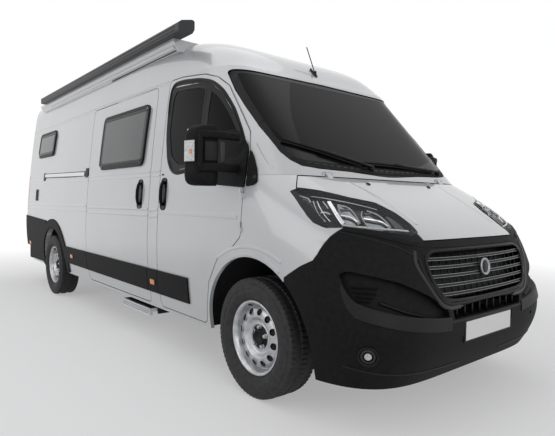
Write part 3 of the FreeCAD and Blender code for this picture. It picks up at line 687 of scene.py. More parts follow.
def make_tyre(end, side):
    """A tyre with grooves, blocks and stepped sidewalls."""
    name = f"{end}_{side}"
    low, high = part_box(f"tyre_{name}")
    centre = (low + high) / 2
    half = (high.x - low.x) / 2
    outer = HUB - TYRE_LIFT
    wall = [(0.04, 0.206), (0.03, 0.2225), (0.02, 0.228), (0.021, 0.232), (0.011, 0.245), (0.002, 0.268),
            (0.0018, 0.27), (0.0018, 0.296), (0, 0.298), (0.004, 0.322), (0.008, 0.325),
            (0.012, outer - 0.011)]
    profile = [(-half + inward, radius) for inward, radius in wall]
    for i, x in enumerate(RIBS):
        shoulder = SHOULDER_DROP if i in SHOULDERS else 0
        groove = TREAD_DEPTH if i in GROOVES else 0
        profile.append((x, outer - shoulder - groove))
    start = len(wall)
    profile += [(-x, radius) for x, radius in reversed(profile[:start])]
    # The rows that are notched into blocks, and by how many steps each row's notches are turned
    shift = {start - 1: 0, start: 0, start + 1: 0, start + 4: 2, start + 5: 2, start + 8: 1, start + 9: 1,
             start + 10: 1}
    points = []
    for i, (x, radius) in enumerate(profile):
        for k in range(TREAD_STEPS):
            angle = 2 * math.pi * (k + 0.5) / TREAD_STEPS
            reach = radius - (NOTCH if i in shift and (k + shift[i]) % 4 == 0 else 0.0)
            points.append(Vector((x, reach * math.cos(angle), reach * math.sin(angle))) + centre)
    faces = ring_faces(len(profile), TREAD_STEPS, False, True)
    tyre = new_piece(f"tread_{name}", points, faces, rubber, f"wheel_{name}")
    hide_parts(f"tyre_{name}")
    return centre


DISC = [
    (-0.075, 0.212), (-0.068, 0.2), (0.03, 0.197), (0.06, 0.199), (0.072, 0.204), (0.078, 0.214),
    (0.0815, 0.2225), (0.086, 0.2235), (0.089, 0.22), (0.0875, 0.211), (0.079, 0.204), (0.06, 0.1945),
    (0.034, 0.1925), (0.03, 0.189), (0.037, 0.184), (0.05, 0.177), (0.0585, 0.166), (0.0635, 0.15),
    (0.066, 0.134), (0.0655, 0.124), (0.062, 0.117), (0.05, 0.109), (0.041, 0.102), (0.0375, 0.095),
    (0.037, 0.08), (0.0405, 0.0755),
]

# The wheel's holes and bolts: count, circle and face, and the disc's slope around the holes
HOLES, HOLE_CIRCLE, HOLE_FACE = 12, 0.1565, 0.0622
HOLE_SLOPE_OUT, HOLE_SLOPE_ACROSS = 0.97, 0.42
BOLTS, BOLT_CIRCLE, HUB_FACE = 5, 0.062, 0.0422


def spoke(angle):
    """A direction across the axles, from the rear towards upright."""
    return Vector((0, math.cos(angle), math.sin(angle)))


def make_wheel(name, side, centre):
    """A pressed steel wheel: dished disc with round holes, drawn as dark cups of painted shade, bolts, hub
    and valve.
    """
    out = -1 if side == "right" else 1
    axis = Vector((out, 0, 0))
    body = f"wheel_{name}"
    disc = turned(f"disc_{name}", DISC, centre, axis, silver, body, 96)
    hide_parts(f"rim_{name}")
    for k in range(HOLES):
        angle = 2 * math.pi * (k + 0.25) / HOLES
        ray = spoke(angle)
        spot = centre + axis * HOLE_FACE + ray * HOLE_CIRCLE
        normal = (axis * HOLE_SLOPE_OUT + ray * HOLE_SLOPE_ACROSS).normalized()
        # The disc is unbroken: each hole is a shallow dark cup, painted shade of the open hole and the drum
        # behind it.
        turned(f"hole_{name}_{k}", [(0.0012, 0.0215), (0.0022, 0.0205), (0.0012, 0.019), (-0.0035, 0.0185),
               (-0.0036, 0.0)], spot, normal, trim, body, 24)
        turned(f"hole_edge_{name}_{k}", [(-0.002, 0.0235), (0.0014, 0.0228), (0.0019, 0.0215),
               (0.0005, 0.0205)], spot, normal, silver, body, 24)
    turned(f"hub_{name}", [(0.041, 0.0745), (0.0418, 0.0735), (HUB_FACE, 0.05), (0.051, 0.047),
           (0.057, 0.042), (0.055, 0.036), (0.049, 0.034), (0.048, 0.0)], centre, axis, trim, body, 40)
    for k in range(BOLTS):
        angle = math.pi * 2 * (k + 0.3) / BOLTS
        spot = centre + axis * HUB_FACE + spoke(angle) * BOLT_CIRCLE
        turned(f"bolt_{name}_{k}", [(-0.0005, 0.0155), (0.004, 0.015), (0.005, 0.0125), (0.018, 0.012),
               (0.021, 0.009), (0.0215, 0.0)], spot, axis, silver, body, 6, False)
    valve = [centre + Vector((out * 0.055, 0.06, 0.182)), centre + Vector((out * 0.085, 0.062, 0.188))]
    tube(f"valve_{name}", valve, 0.0045, rubber, body, 8)


for end in ("front", "rear"):
    for side in ("right", "left"):
        middle = make_tyre(end, side)
        make_wheel(f"{end}_{side}", side, middle)


# Front


SCREEN = [
    (0.0, 1.35), (-0.374, 1.369), (-0.636, 1.375), (-0.764, 1.387), (-0.817, 1.421), (-0.845, 1.47),
    (-0.855, 1.547), (-0.868, 1.64), (-0.871, 1.784), (-0.867, 1.907), (-0.847, 2.072), (0.0, 2.085),
]
GRILLE = [
    (-0.455, 0.928), (-0.538, 0.893), (-0.526, 0.794), (-0.484, 0.7), (-0.43, 0.665), (0.0, 0.655),
    (0.43, 0.665), (0.484, 0.7), (0.526, 0.794), (0.538, 0.893), (0.455, 0.928), (0.0, 0.928),
]


def mirrored_loop(half):
    """A closed outline from its right half, whose first and last points are on the centre line."""
    return half + [(-x, z) for x, z in reversed(half[1:-1])]


def inset(points, amount, middle):
    """The outline moved towards its middle by about an amount."""
    out = []
    for x, z in points:
        dx, dz = middle[0] - x, middle[1] - z
        reach = math.hypot(dx, dz)
        out.append((x + dx / reach * amount, z + dz / reach * amount))
    return out


def make_screen_edges():
    """The windscreen's dark border and corners, and the slotted panel at its foot."""
    loop = mirrored_loop(SCREEN)
    path = rounded(inset(loop, 0.026, (0, 1.72)), 0.05, True, 0.03)
    ribbon("screen_border", path, on_front, flat_band(0.05, -0.002, 0.0012, 0.0005), gloss, "van", True)
    for side, sign in SIDES:
        corner = [(-0.838, 1.545), (-0.83, 1.47), (-0.805, 1.418), (-0.76, 1.395), (-0.55, 1.385),
                  (-0.3, 1.378), (-0.3, 1.425), (-0.55, 1.462), (-0.7, 1.505), (-0.81, 1.55)]
        outline = rounded([(-sign * x, z) for x, z in corner], 0.02)
        panel(f"screen_corner_{side}", outline, on_front, -0.001, 0.0018, gloss)
    cowl = [(-0.8, 1.425), (-0.74, 1.405), (-0.6, 1.398), (-0.3, 1.39), (0, 1.386), (0.3, 1.39), (0.6, 1.398),
            (0.74, 1.405), (0.8, 1.425)]
    ribbon("cowl_panel", rounded(cowl, 0.05, False, 0.03), on_front, flat_band(0.06, -0.002, 0.006, 0.003),
           textured)
    for k in range(24):
        x = -0.69 + 0.06 * k
        z = 1.388 + 0.02 * (x / 0.7) ** 2
        ribbon(f"cowl_slot_{k}", [(x - 0.02, z), (x, z), (x + 0.02, z)], on_front,
               flat_band(0.012, 0.005, 0.0075), gloss)


def make_wiper(name, path, pivot):
    """A wiper: its blade across the foot of the windscreen, its arm and its cap."""
    blade = rounded(path, 0.1, False, 0.05)
    ribbon(f"{name}_blade", blade, on_front, flat_band(0.018, 0.004, 0.016, 0.004), trim)
    ribbon(f"{name}_holder", rounded(path[:-1], 0.1, False, 0.05), on_front,
           flat_band(0.009, 0.014, 0.027, 0.003), textured)
    middle = path[len(path) // 2]
    place, normal = on_front(*pivot, 0.004)
    turned(f"{name}_cap", [(0, 0.021), (0.014, 0.02), (0.022, 0.014), (0.024, 0.0)], place, normal, trim,
           "van", 24)
    arm = [on_front(pivot[0] + (middle[0] - pivot[0]) * k / 5, pivot[1] + (middle[1] - pivot[1]) * k / 5,
           0.026)[0] for k in range(6)]
    tube(f"{name}_arm", arm, 0.0095, trim, "van", 10)


def front_line(name, points, section, material):
    """A band across the front: its right half's points and their mirror images."""
    path = points + [(-x, z) for x, z in reversed(points) if x < -0.01]
    ribbon(name, rounded(path, 0.03, False, 0.03), on_front, section, material)


SLATS = [(0.878, 0.516), (0.835, 0.514), (0.79, 0.505), (0.742, 0.486), (0.695, 0.458)]


def make_grille():
    """The grille: slats, ribs, its frames and a plain ring."""
    tray = front_copy("grille_tray", "grille", False, trim)
    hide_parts("grille")
    for i, (z, half) in enumerate(SLATS):
        def path(drop):
            return [(x * half / 12, z + drop + 0.008 * (abs(x) / 12) ** 2) for x in range(-12, 13)]

        ribbon(f"slat_{i}", path(0), on_front, flat_band(0.015, -0.035, -0.006, 0.001), trim)
        for j, drop in enumerate((0.0068, -0.0068)):
            ribbon(f"slat_line_{i}_{j}", path(drop), on_front, flat_band(0.0026, -0.012, -0.003, 0.0008),
                   satin)
    for k in range(-7, 8):
        x = k * 0.066
        top, foot = on_front(x, 0.905, -0.02)[0], on_front(x, 0.672, -0.02)[0]
        tube(f"grille_rib_{k + 7}", [top, foot], 0.004, trim, "van", 6)
    edge = rounded(GRILLE, 0.03, True, 0.03)
    ribbon("grille_edge", edge, on_front, flat_band(0.012, -0.006, 0.004, 0.002), gloss, "van", True)
    inner_frame = [(-0.5, 0.9), (-0.534, 0.874), (-0.52, 0.803), (-0.5, 0.757), (-0.468, 0.712),
                   (-0.434, 0.678), (-0.354, 0.664), (-0.204, 0.658), (0, 0.656)]
    front_line("grille_frame", inner_frame, flat_band(0.016, -0.004, 0.005, 0.004), charcoal)
    outer_frame = [(-0.585, 0.93), (-0.605, 0.875), (-0.59, 0.827), (-0.555, 0.765), (-0.512, 0.697),
                   (-0.466, 0.65), (-0.4, 0.629), (-0.2, 0.63), (0, 0.63)]
    front_line("grille_band", outer_frame, [(-0.013, -0.003), (-0.005, 0.005), (0.006, 0.004),
               (0.013, -0.003)], grey_band)
    front_line("grille_gap", [(-0.57, 0.885), (-0.565, 0.82), (-0.53, 0.762), (-0.49, 0.705), (-0.45, 0.666),
               (-0.38, 0.647), (-0.2, 0.6445), (0, 0.6435)], flat_band(0.012, -0.003, 0.002), trim)
    front_line("nose_line", [(-0.56, 0.955), (-0.4, 0.945), (-0.2, 0.94), (0, 0.938)],
               flat_band(0.008, -0.002, 0.0025, 0.002), textured)
    centre = on_front(0, 0.815, 0.004)[0]
    facing = Vector((0, -1, 0.12))
    turned("badge", [(0.0, 0.05), (0.012, 0.05), (0.015, 0.047), (0.015, 0.043), (0.009, 0.04), (0.009, 0.0)],
           centre, facing, satin, "van", 48)
    turned("badge_face", [(0.0085, 0.038), (0.0105, 0.03), (0.0115, 0.0)], centre, facing, gloss, "van", 48)


LAMP_SHAPES = {
    "outer": [(-1.128, 1.218), (-1.05, 1.201), (-1.033, 1.174), (-1.005, 1.117), (-0.972, 1.07),
              (-1.003, 1.075), (-1.035, 1.09), (-1.075, 1.135), (-1.105, 1.179)],
    "inner": [(-0.628, 1.112), (-0.605, 1.108), (-0.565, 1.08), (-0.535, 1.052), (-0.53, 1.04),
              (-0.55, 1.042), (-0.583, 1.052), (-0.609, 1.09)],
    "unit_1": [(-0.894, 1.178), (-0.825, 1.164), (-0.789, 1.125), (-0.767, 1.075), (-0.844, 1.069),
               (-0.869, 1.114)],
    "unit_2": [(-0.735, 1.142), (-0.675, 1.12), (-0.63, 1.085), (-0.6, 1.05), (-0.731, 1.055),
               (-0.754, 1.105)],
}
LAMP_LINES = (
    ("strip", [(-1.125, 1.219), (-1.095, 1.212), (-1.05, 1.201), (-1.038, 1.18)], 0.007, -0.014, frosted),
    ("brow", [(-1.035, 1.212), (-0.931, 1.199), (-0.821, 1.18), (-0.72, 1.158), (-0.67, 1.145)], 0.005,
     -0.012, satin),
    ("fin_1", [(-1.022, 1.185), (-1.011, 1.148), (-0.989, 1.107), (-0.957, 1.077)], 0.006, -0.014, frosted),
    ("fin_2", [(-1.001, 1.185), (-0.984, 1.148), (-0.962, 1.112), (-0.931, 1.077)], 0.006, -0.014,
     reflecting),
    ("fin_3", [(-0.982, 1.124), (-0.957, 1.128), (-0.932, 1.118)], 0.009, -0.014, frosted),
    ("fin_4", [(-0.969, 1.186), (-0.952, 1.165), (-0.942, 1.149)], 0.006, -0.014, frosted),
    ("blade", [(-0.936, 1.186), (-0.915, 1.149), (-0.89, 1.109), (-0.862, 1.069)], 0.022, -0.018, reflecting),
    ("foot", [(-0.87, 1.063), (-0.803, 1.057), (-0.742, 1.053), (-0.648, 1.046), (-0.564, 1.04),
     (-0.51, 1.034)], 0.012, -0.012, frosted),
    ("shelf_1", [(-0.874, 1.114), (-0.838, 1.109), (-0.812, 1.1), (-0.785, 1.08)], 0.011, -0.02, reflecting),
    ("shelf_2", [(-0.754, 1.1), (-0.7, 1.092), (-0.657, 1.085), (-0.622, 1.06)], 0.011, -0.02, reflecting),
    ("rim_1", [(-0.889, 1.17), (-0.83, 1.158), (-0.796, 1.12), (-0.776, 1.08)], 0.004, -0.014, frosted),
    ("rim_2", [(-0.73, 1.14), (-0.672, 1.122), (-0.63, 1.086), (-0.608, 1.055)], 0.004, -0.014, frosted),
    # Dark strips just under the two shelves: painted shadow of the shelves.
    ("shelf_shadow_1", [(-0.874, 1.102), (-0.838, 1.097), (-0.812, 1.088), (-0.788, 1.07)], 0.008, -0.018, smoke),
    ("shelf_shadow_2", [(-0.754, 1.088), (-0.7, 1.08), (-0.657, 1.073), (-0.625, 1.052)], 0.008, -0.018, smoke),
    ("slot_1", [(-0.873, 1.143), (-0.85, 1.144), (-0.83, 1.144)], 0.012, -0.018, smoke),
    ("slot_2", [(-0.746, 1.12), (-0.73, 1.122), (-0.712, 1.123)], 0.012, -0.018, smoke),
    ("divider", [(-0.758, 1.135), (-0.764, 1.115), (-0.756, 1.09), (-0.737, 1.06)], 0.006, -0.016, satin),
)


def make_headlamps():
    """The headlamps' clear covers, with bowls and light strips behind them."""
    cover = front_copy("lamp_covers", "headlamps", True, clear)
    front_copy("lamp_bowls", "headlamps", False, bowl)
    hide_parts("headlamps")
    for side, onto in CORNERS:
        panel(f"lamp_outer_{side}", rounded(LAMP_SHAPES["outer"], 0.01), onto, -0.03, -0.012, smoke)
        panel(f"lamp_inner_{side}", rounded(LAMP_SHAPES["inner"], 0.01), onto, -0.03, -0.012, grey_band)
        for unit in ("unit_1", "unit_2"):
            panel(f"lamp_{unit}_{side}", rounded(LAMP_SHAPES[unit], 0.012), onto, -0.05, -0.014, satin, "van",
                  0.012, -0.03)
        for name, points, width, low, finish in LAMP_LINES:
            ribbon(f"lamp_{name}_{side}", rounded(points, 0.02, False), onto,
                   flat_band(width, low, -0.007, 0.002), finish)


SCOOP_LIP = [(-0.873, 0.77), (-0.848, 0.71), (-0.814, 0.668), (-0.771, 0.648), (-0.685, 0.628),
             (-0.588, 0.606), (-0.482, 0.586), (-0.364, 0.566), (-0.286, 0.558)]
SCOOP_CREASE = [(-0.68, 0.69), (-0.636, 0.676), (-0.586, 0.658), (-0.525, 0.636), (-0.459, 0.617),
                (-0.389, 0.592)]
SCOOP_FINS = [(-0.82, -0.69, 0.752, 0.004), (-0.808, -0.7, 0.731, 0.008), (-0.8, -0.715, 0.711, 0.008),
              (-0.79, -0.73, 0.692, 0.008)]


def make_bumper_trim():
    """Grooves, scoops and fog lamps of the bumper's corners."""
    for side, onto in CORNERS:
        groove = [(-0.88, 1.024), (-0.805, 1.008), (-0.73, 0.992), (-0.601, 0.957), (-0.522, 0.922),
                  (-0.467, 0.885)]
        ribbon(f"bumper_groove_{side}", rounded(groove, 0.05, False), onto, flat_band(0.008, -0.003, 0.0015),
               trim)
        shelf = [(-0.865, 1.04), (-0.8, 1.032), (-0.73, 1.02), (-0.601, 0.99), (-0.5, 0.965)]
        ribbon(f"lamp_shelf_{side}", rounded(shelf, 0.05, False), onto, flat_band(0.03, -0.003, 0.005, 0.004),
               textured)
        for k, (start, end, z, drop) in enumerate(SCOOP_FINS):
            path = [(start + (end - start) * t, z - drop * t) for t in (0, 0.33, 0.67, 1)]
            ribbon(f"scoop_fin_{side}_{k}", path, onto, flat_band(0.007, -0.001, 0.02, 0.003), textured)
        smooth, down = (bridged(-1), 1) if side == "right" else (bridged(1), -1)
        section = [(0.048, -0.003), (0.045, 0.003), (0.02, 0.0042), (-0.016, 0.0035), (-0.024, 0.0),
                   (-0.027, -0.045), (0.048, -0.045)]
        ribbon(f"scoop_lip_{side}", rounded(SCOOP_LIP, 0.08, False, 0.012), smooth,
               [(u * down, lift) for u, lift in section], charcoal, "van", False, 0.3)
        section = [(0.014, -0.05), (0.004, -0.018), (-0.003, -0.016), (-0.02, -0.05)]
        ribbon(f"scoop_crease_{side}", rounded(SCOOP_CREASE, 0.05, False), smooth,
               [(u * down, lift) for u, lift in section], charcoal)
        place, normal = onto(-0.738, 0.426, 0.0)
        turned(f"fog_ring_{side}", [(-0.006, 0.054), (0.005, 0.052), (0.007, 0.048), (0.003, 0.042),
               (0.0, 0.04), (-0.006, 0.04)], place, normal, trim, "van", 40)
        turned(f"fog_bowl_{side}", [(0.0, 0.04), (0.001, 0.035), (-0.001, 0.02), (-0.001, 0.0)], place,
               normal, smoke, "van", 32)
        turned(f"fog_glass_{side}", [(-0.001, 0.02), (0.004, 0.017), (0.006, 0.01), (0.006, 0.0)], place,
               normal, frosted, "van", 32)
        chin = [(-0.86, 0.36), (-0.7, 0.335), (-0.5, 0.315), (-0.2, 0.3)]
        ribbon(f"chin_line_{side}", rounded(chin, 0.1, False, 0.04), onto, flat_band(0.01, -0.003, 0.003),
               charcoal)


def make_intake_and_plate():
    """The bars of the middle intake and the blank plate on its holder."""
    for k in range(9):
        x = -0.32 + 0.08 * k
        low, high = on_front(x, 0.556, -0.014)[0], on_front(x, 0.65, -0.014)[0]
        tube(f"intake_bar_{k}", [low + Vector((0, 0.01, 0.004)), high + Vector((0, 0.0, -0.004))], 0.006,
             trim, "van", 8)
    front_line("intake_lip", [(-0.4, 0.556), (-0.2, 0.5515), (0, 0.551)],
               flat_band(0.012, -0.004, 0.0005, 0.0004), charcoal)
    y = 0.002 - HALF_LENGTH
    bar("plate_holder", (-0.27, y, 0.424), (0.27, y + 0.008, 0.546), trim, "van", 0.002)
    bar("plate", (-0.256, y - 0.0015, 0.433), (0.256, y + 0.003, 0.537), white_plate, "van", 0.0012)


def make_bonnet_lines():
    """The bonnet's two creases and its washer jets."""
    for side, sign in SIDES:
        onto = mirrored(on_front, -sign)
        line = [(-0.5, 1.3), (-0.47, 1.25), (-0.445, 1.19), (-0.43, 1.13), (-0.425, 1.06)]
        ribbon(f"bonnet_crease_{side}", rounded(line, 0.08, False), onto,
               [(-0.03, -0.002), (-0.012, 0.0018), (0.0, 0.003), (0.012, 0.0018), (0.03, -0.002)], paint,
               "bonnet")
        place, normal = onto(-0.33, 1.29, 0.0)
        turned(f"washer_{side}", [(-0.002, 0.016), (0.005, 0.014), (0.008, 0.008), (0.008, 0.0)], place,
               normal, trim, "bonnet", 20)


make_screen_edges()
make_wiper("wiper_right", [(-0.8, 1.538), (-0.69, 1.512), (-0.545, 1.484), (-0.395, 1.448), (-0.222, 1.412)],
           (-0.13, 1.398))
make_wiper("wiper_left", [(-0.183, 1.43), (0.0, 1.432), (0.149, 1.43), (0.437, 1.418), (0.6, 1.412)],
           (0.68, 1.405))
make_grille()
make_headlamps()
make_bumper_trim()
make_intake_and_plate()
make_bonnet_lines()


# Sides


CAB_WINDOW = [
    (1.075, 1.44), (1.15, 1.575), (1.29, 1.755), (1.44, 1.905), (1.57, 1.98), (1.7, 2.008), (2.045, 2.028),
    (2.09, 1.96), (2.105, 1.7), (2.04, 1.48), (1.9, 1.395),
]
CAB_SEAL = [
    (1.06, 1.43), (1.135, 1.585), (1.275, 1.775), (1.425, 1.925), (1.55, 2.005), (1.7, 2.045), (1.95, 2.072),
    (2.06, 2.07), (2.11, 2.03), (2.125, 1.925), (2.108, 1.66), (2.06, 1.47), (1.99, 1.385), (1.9, 1.355),
]
SLIDE_WINDOW = [(2.48, 1.465), (3.46, 1.465), (3.43, 1.95), (2.44, 1.95)]
REAR_SIDE_WINDOW = [(5.115, 1.715), (5.8, 1.715), (5.76, 2.005), (5.075, 2.005)]
SAIL = [(1.042, 1.258), (1.042, 1.287), (1.064, 1.482), (1.084, 1.52), (1.15, 1.585), (1.24, 1.63),
        (1.36, 1.62), (1.42, 1.5), (1.44, 1.38), (1.42, 1.3), (1.32, 1.275), (1.2, 1.266), (1.1, 1.26)]
SAIL_FOOT = [(1.022, 1.262), (0.96, 1.27), (0.938, 1.289), (0.953, 1.327), (0.97, 1.37), (1.02, 1.45),
             (1.048, 1.485), (1.05, 1.478), (1.026, 1.289)]


# How far beside a point the skin is looked for, past the gap between two panels
PANEL_GAP = 0.014


def levelled(onto):
    """The mapper with the narrow gaps between panels passed over."""

    def mapper(u, v, lift=0.0):
        own = onto(u, v)[0]
        outer, normal = max((onto(u + d, v) for d in (0.0, PANEL_GAP, -PANEL_GAP)),
                            key=lambda spot: abs(spot[0].x))
        return Vector((outer.x, own.y, own.z)) + normal * lift, normal

    return mapper


def make_cab_side(name, onto):
    """The frame, seals and dividers of a cab window, with the trim of its door."""
    body = f"cab_door_{name}"
    middle = (1.65, 1.7)
    surround(f"cab_window_frame_{name}", rounded(CAB_SEAL, 0.06, True, 0.02),
             rounded(inset(CAB_WINDOW, 0.04, middle), 0.05, True, 0.02), onto, -0.001, 0.0035, trim, body)
    ribbon(f"cab_seal_line_{name}", rounded(inset(CAB_SEAL, 0.022, middle), 0.06, True, 0.03), onto,
           flat_band(0.006, 0.001, 0.007, 0.002), gloss, body, True)
    ribbon(f"cab_divider_{name}", [(1.585, 1.965), (1.573, 1.8), (1.563, 1.6), (1.555, 1.41)], onto,
           flat_band(0.06, 0.0, 0.005, 0.002), trim, body)
    ribbon(f"cab_channel_{name}", [(1.62, 1.955), (1.607, 1.8), (1.597, 1.6), (1.589, 1.41)], onto,
           flat_band(0.008, 0.0, 0.007, 0.002), grey_band, body)
    rubber_line = [(1.64, 1.965), (1.7, 1.983), (2.02, 2.0), (2.062, 1.95), (2.076, 1.7), (2.02, 1.5),
                   (1.9, 1.425)]
    ribbon(f"cab_rubber_{name}", rounded(rubber_line, 0.05, False, 0.03), onto,
           flat_band(0.007, 0.0, 0.005, 0.002), grey_band, body)
    panel(f"cab_sail_{name}", rounded(SAIL, 0.008), levelled(onto), -0.002, 0.009, textured, body)
    panel(f"sail_foot_{name}", rounded(SAIL_FOOT, 0.008), levelled(onto), -0.002, 0.009, textured)
    ribbon(f"cab_sail_line_{name}", rounded([(1.075, 1.362), (1.12, 1.352), (1.2, 1.35), (1.3, 1.37)], 0.05,
           False), onto, flat_band(0.006, 0.008, 0.0115, 0.002), gloss, body)
    place, normal = onto(0.965, 1.315, 0.009)
    turned(f"sail_cap_{name}", [(0, 0.012), (0.003, 0.011), (0.004, 0.008), (0.002, 0.006), (0.002, 0.0)],
           place, normal, grey_band, "van", 20)
    handle(f"cab_handle_{name}", 2.075, 1.218, onto, body)
    seam = [(1.09, 1.075), (1.4, 1.08), (1.8, 1.08), (2.135, 1.08)]
    crease(f"cab_crease_{name}", seam, onto, body, 0.05)
    panel(f"cab_marker_{name}", rectangle(2.09, 1.36, 2.128, 1.372, 0.004), onto, 0.0, 0.001, trim, body)


def crease(name, path, onto, body="van", width=0.04, proud=0.0025):
    """A pressed line in the sheet metal."""
    half = width / 2
    section = [(-half, -0.001), (-half * 0.3, proud), (half * 0.3, proud * 0.9), (half, -0.001)]
    ribbon(name, rounded(path, 0.02, False, 0.05), onto, section, paint, body)


def handle(name, station, z, onto, body="van"):
    """An upright door handle in its dark oval cup."""
    cup = rectangle(station - 0.045, z - 0.12, station + 0.045, z + 0.12, 0.042)
    panel(f"{name}_cup", cup, onto, -0.002, 0.0025, gloss, body)
    ribbon(f"{name}_rim", cup, onto, flat_band(0.007, 0.0, 0.005, 0.002), textured, body, True)
    grip = [(station, z - 0.085, 0.004), (station, z - 0.07, 0.018), (station, z - 0.03, 0.026),
            (station, z + 0.03, 0.027), (station, z + 0.075, 0.02), (station, z + 0.095, 0.006)]
    path = [onto(s, h, lift)[0] for s, h, lift in grip]
    tube(f"{name}_grip", path, 0.0125, textured, body, 12)


def camper_window(name, outline, onto):
    """The dark frame, the inner line and the two bars around a camper window's pane."""
    middle = (sum(p[0] for p in outline) / 4, sum(p[1] for p in outline) / 4)
    path = rounded(inset(outline, 0.008, middle), 0.05, True, 0.04)
    ribbon(f"{name}_frame", path, onto, flat_band(0.03, -0.014, 0.003, 0.003), trim, "van", True)
    ribbon(f"{name}_inner", rounded(inset(outline, 0.05, middle), 0.03, True, 0.04), onto,
           flat_band(0.005, -0.002, 0.0015, 0.0008), grey_band, "van", True)
    low, high = min(p[1] for p in outline), max(p[1] for p in outline)
    foot = [(outline[0][0] + 0.03, low + 0.035), (outline[1][0] - 0.03, low + 0.035)]
    ribbon(f"{name}_foot", rounded(foot, 0.01, False, 0.1), onto, flat_band(0.02, -0.002, 0.006, 0.003),
           gloss)
    head = [(outline[3][0] + 0.03, high - 0.035), (outline[2][0] - 0.03, high - 0.035)]
    ribbon(f"{name}_head", rounded(head, 0.01, False, 0.1), onto, flat_band(0.014, -0.002, 0.005, 0.003),
           grey_band)


def make_slide_rail(name, onto):
    """The sliding door's rail in its dark slot."""
    slot = [(3.79, 1.4), (5.43, 1.425), (5.43, 1.485), (3.79, 1.46)]
    panel(f"rail_slot_{name}", rounded(slot, 0.012), onto, -0.001, 0.0018, gloss)
    cover = [(3.9, 1.412), (5.4, 1.436), (5.4, 1.474), (3.9, 1.45)]
    panel(f"rail_cover_{name}", rounded(cover, 0.006), onto, 0.0, 0.011, aluminium)
    for k, s in enumerate((3.8, 5.4)):
        bracket = [(s, 1.392), (s + 0.07, 1.393), (s + 0.07, 1.49), (s, 1.489)]
        panel(f"rail_end_{name}_{k}", rounded(bracket, 0.01), onto, -0.001, 0.007, trim)


# The pressed lines along a side: name, height at both ends, width and lift
SIDE_LINES = (
    ("belt_line", 1.098, 1.085, 0.03, 0.004), ("belt_foot", 1.048, 1.035, 0.03, 0.003),
    ("upper_line", 2.095, 2.1, 0.02, 0.004), ("upper_foot", 2.072, 2.077, 0.014, 0.003),
    ("waist_line", 1.4, 1.4, 0.026, 0.0035), ("waist_foot", 1.362, 1.362, 0.02, 0.0025),
)


def make_side_lines(name, onto, spans):
    """The pressed lines along a side, over each span between the doors' shut lines."""
    for k, (start, end) in enumerate(spans):
        for line, front_z, rear_z, width, proud in SIDE_LINES:
            crease(f"{line}_{name}_{k}", [(start, front_z), (end, rear_z)], onto, "van", width, proud)


def over_wheel(axle, long, high, start, sweep, parts):
    """Points of an arc over a wheel, its start and sweep in degrees."""
    angles = [math.radians(start + sweep * k / parts) for k in range(parts + 1)]
    return [(axle - long * math.cos(angle), HUB + high * math.sin(angle)) for angle in angles]


def make_wing_lines(name, onto):
    """The pressed lines of a front wing: the one below the pillar and the bulge over the wheel."""
    crease(f"wing_line_{name}", [(1.03, 1.529), (0.959, 1.451), (0.879, 1.37)], onto, "van", 0.02, 0.003)
    crease(f"wing_bulge_{name}", over_wheel(FRONT_AXLE, 0.6, 0.545, 62, 62, 10), onto, "van", 0.03, 0.004)


def arch_flare(name, onto):
    """The dark lip around a rear wheel arch, which runs on into the corner panel."""
    path = over_wheel(REAR_AXLE, 0.508, 0.508, -12, 204, 26)
    ribbon(f"arch_flare_{name}", path, onto, flat_band(0.106, -0.004, 0.0118, 0.006), textured)


def front_lip(name, onto):
    """The pressed lip around a front wheel arch, on the wing alone."""
    path = over_wheel(FRONT_AXLE, 0.502, 0.502, 58, 56, 14)
    ribbon(f"front_lip_{name}", path, onto, flat_band(0.022, -0.002, 0.0035, 0.003), paint)


def side_marker(name, station, z, onto):
    """An amber side lamp on its base."""
    base = rectangle(station - 0.045, z - 0.026, station + 0.045, z + 0.026, 0.01)
    panel(f"{name}_base", base, onto, 0.008, 0.0145, trim)
    lens = rectangle(station - 0.036, z - 0.019, station + 0.036, z + 0.019, 0.008)
    panel(name, lens, onto, 0.01, 0.0185, amber, "van", 0.04, 0.003)


for name, onto in (("right", right), ("left", left)):
    make_cab_side(name, onto)
    spans = [(2.165, 2.318), (2.342, 3.768), (3.792, 6.28)] if name == "right" else [(2.165, 6.28)]
    make_side_lines(name, onto, spans)
    camper_window(f"living_window_{name}", SLIDE_WINDOW, onto)
    camper_window(f"bed_window_{name}", REAR_SIDE_WINDOW, onto)
    make_wing_lines(name, onto)
    arch_flare(name, onto)
    front_lip(name, onto)
    for k, (station, z) in enumerate(((2.235, 0.527), (4.255, 0.535), (6.05, 0.56))):
        side_marker(f"side_marker_{name}_{k}", station, z, onto)

handle("slide_handle", 2.5, 1.217, right)
make_slide_rail("right", right)
panel("side_vent", rectangle(5.7, 1.135, 5.8, 1.285, 0.012), right, -0.001, 0.006, trim)
for k in range(7):
    ribbon(f"vent_fin_{k}", [(5.712, 1.155 + 0.018 * k), (5.788, 1.155 + 0.018 * k)], right,
           flat_band(0.008, 0.004, 0.011, 0.002), textured)


# Mirrors


# Where a bar stands upright, its width has this direction
STEEP = 0.9
POST_SIDE = Vector((0.6, -0.8, 0))


def beam(name, path, width, height, material, body):
    """A flattened bar along points in the frame, its height upright."""
    section = rectangle(-width / 2, -height / 2, width / 2, height / 2, min(width, height) * 0.4, 1)
    points = []
    for i, point in enumerate(path):
        ahead = (path[min(i + 1, len(path) - 1)] - path[max(i - 1, 0)]).normalized()
        side = ahead.cross(Vector((0, 0, 1))).normalized()
        if abs(ahead.z) > STEEP:
            side = POST_SIDE
        up = side.cross(ahead)
        points += [point + side * u + up * v for u, v in section]
    faces = ring_faces(len(path), len(section))
    return softened(new_piece(name, points, faces, material, body, True), 0.002)


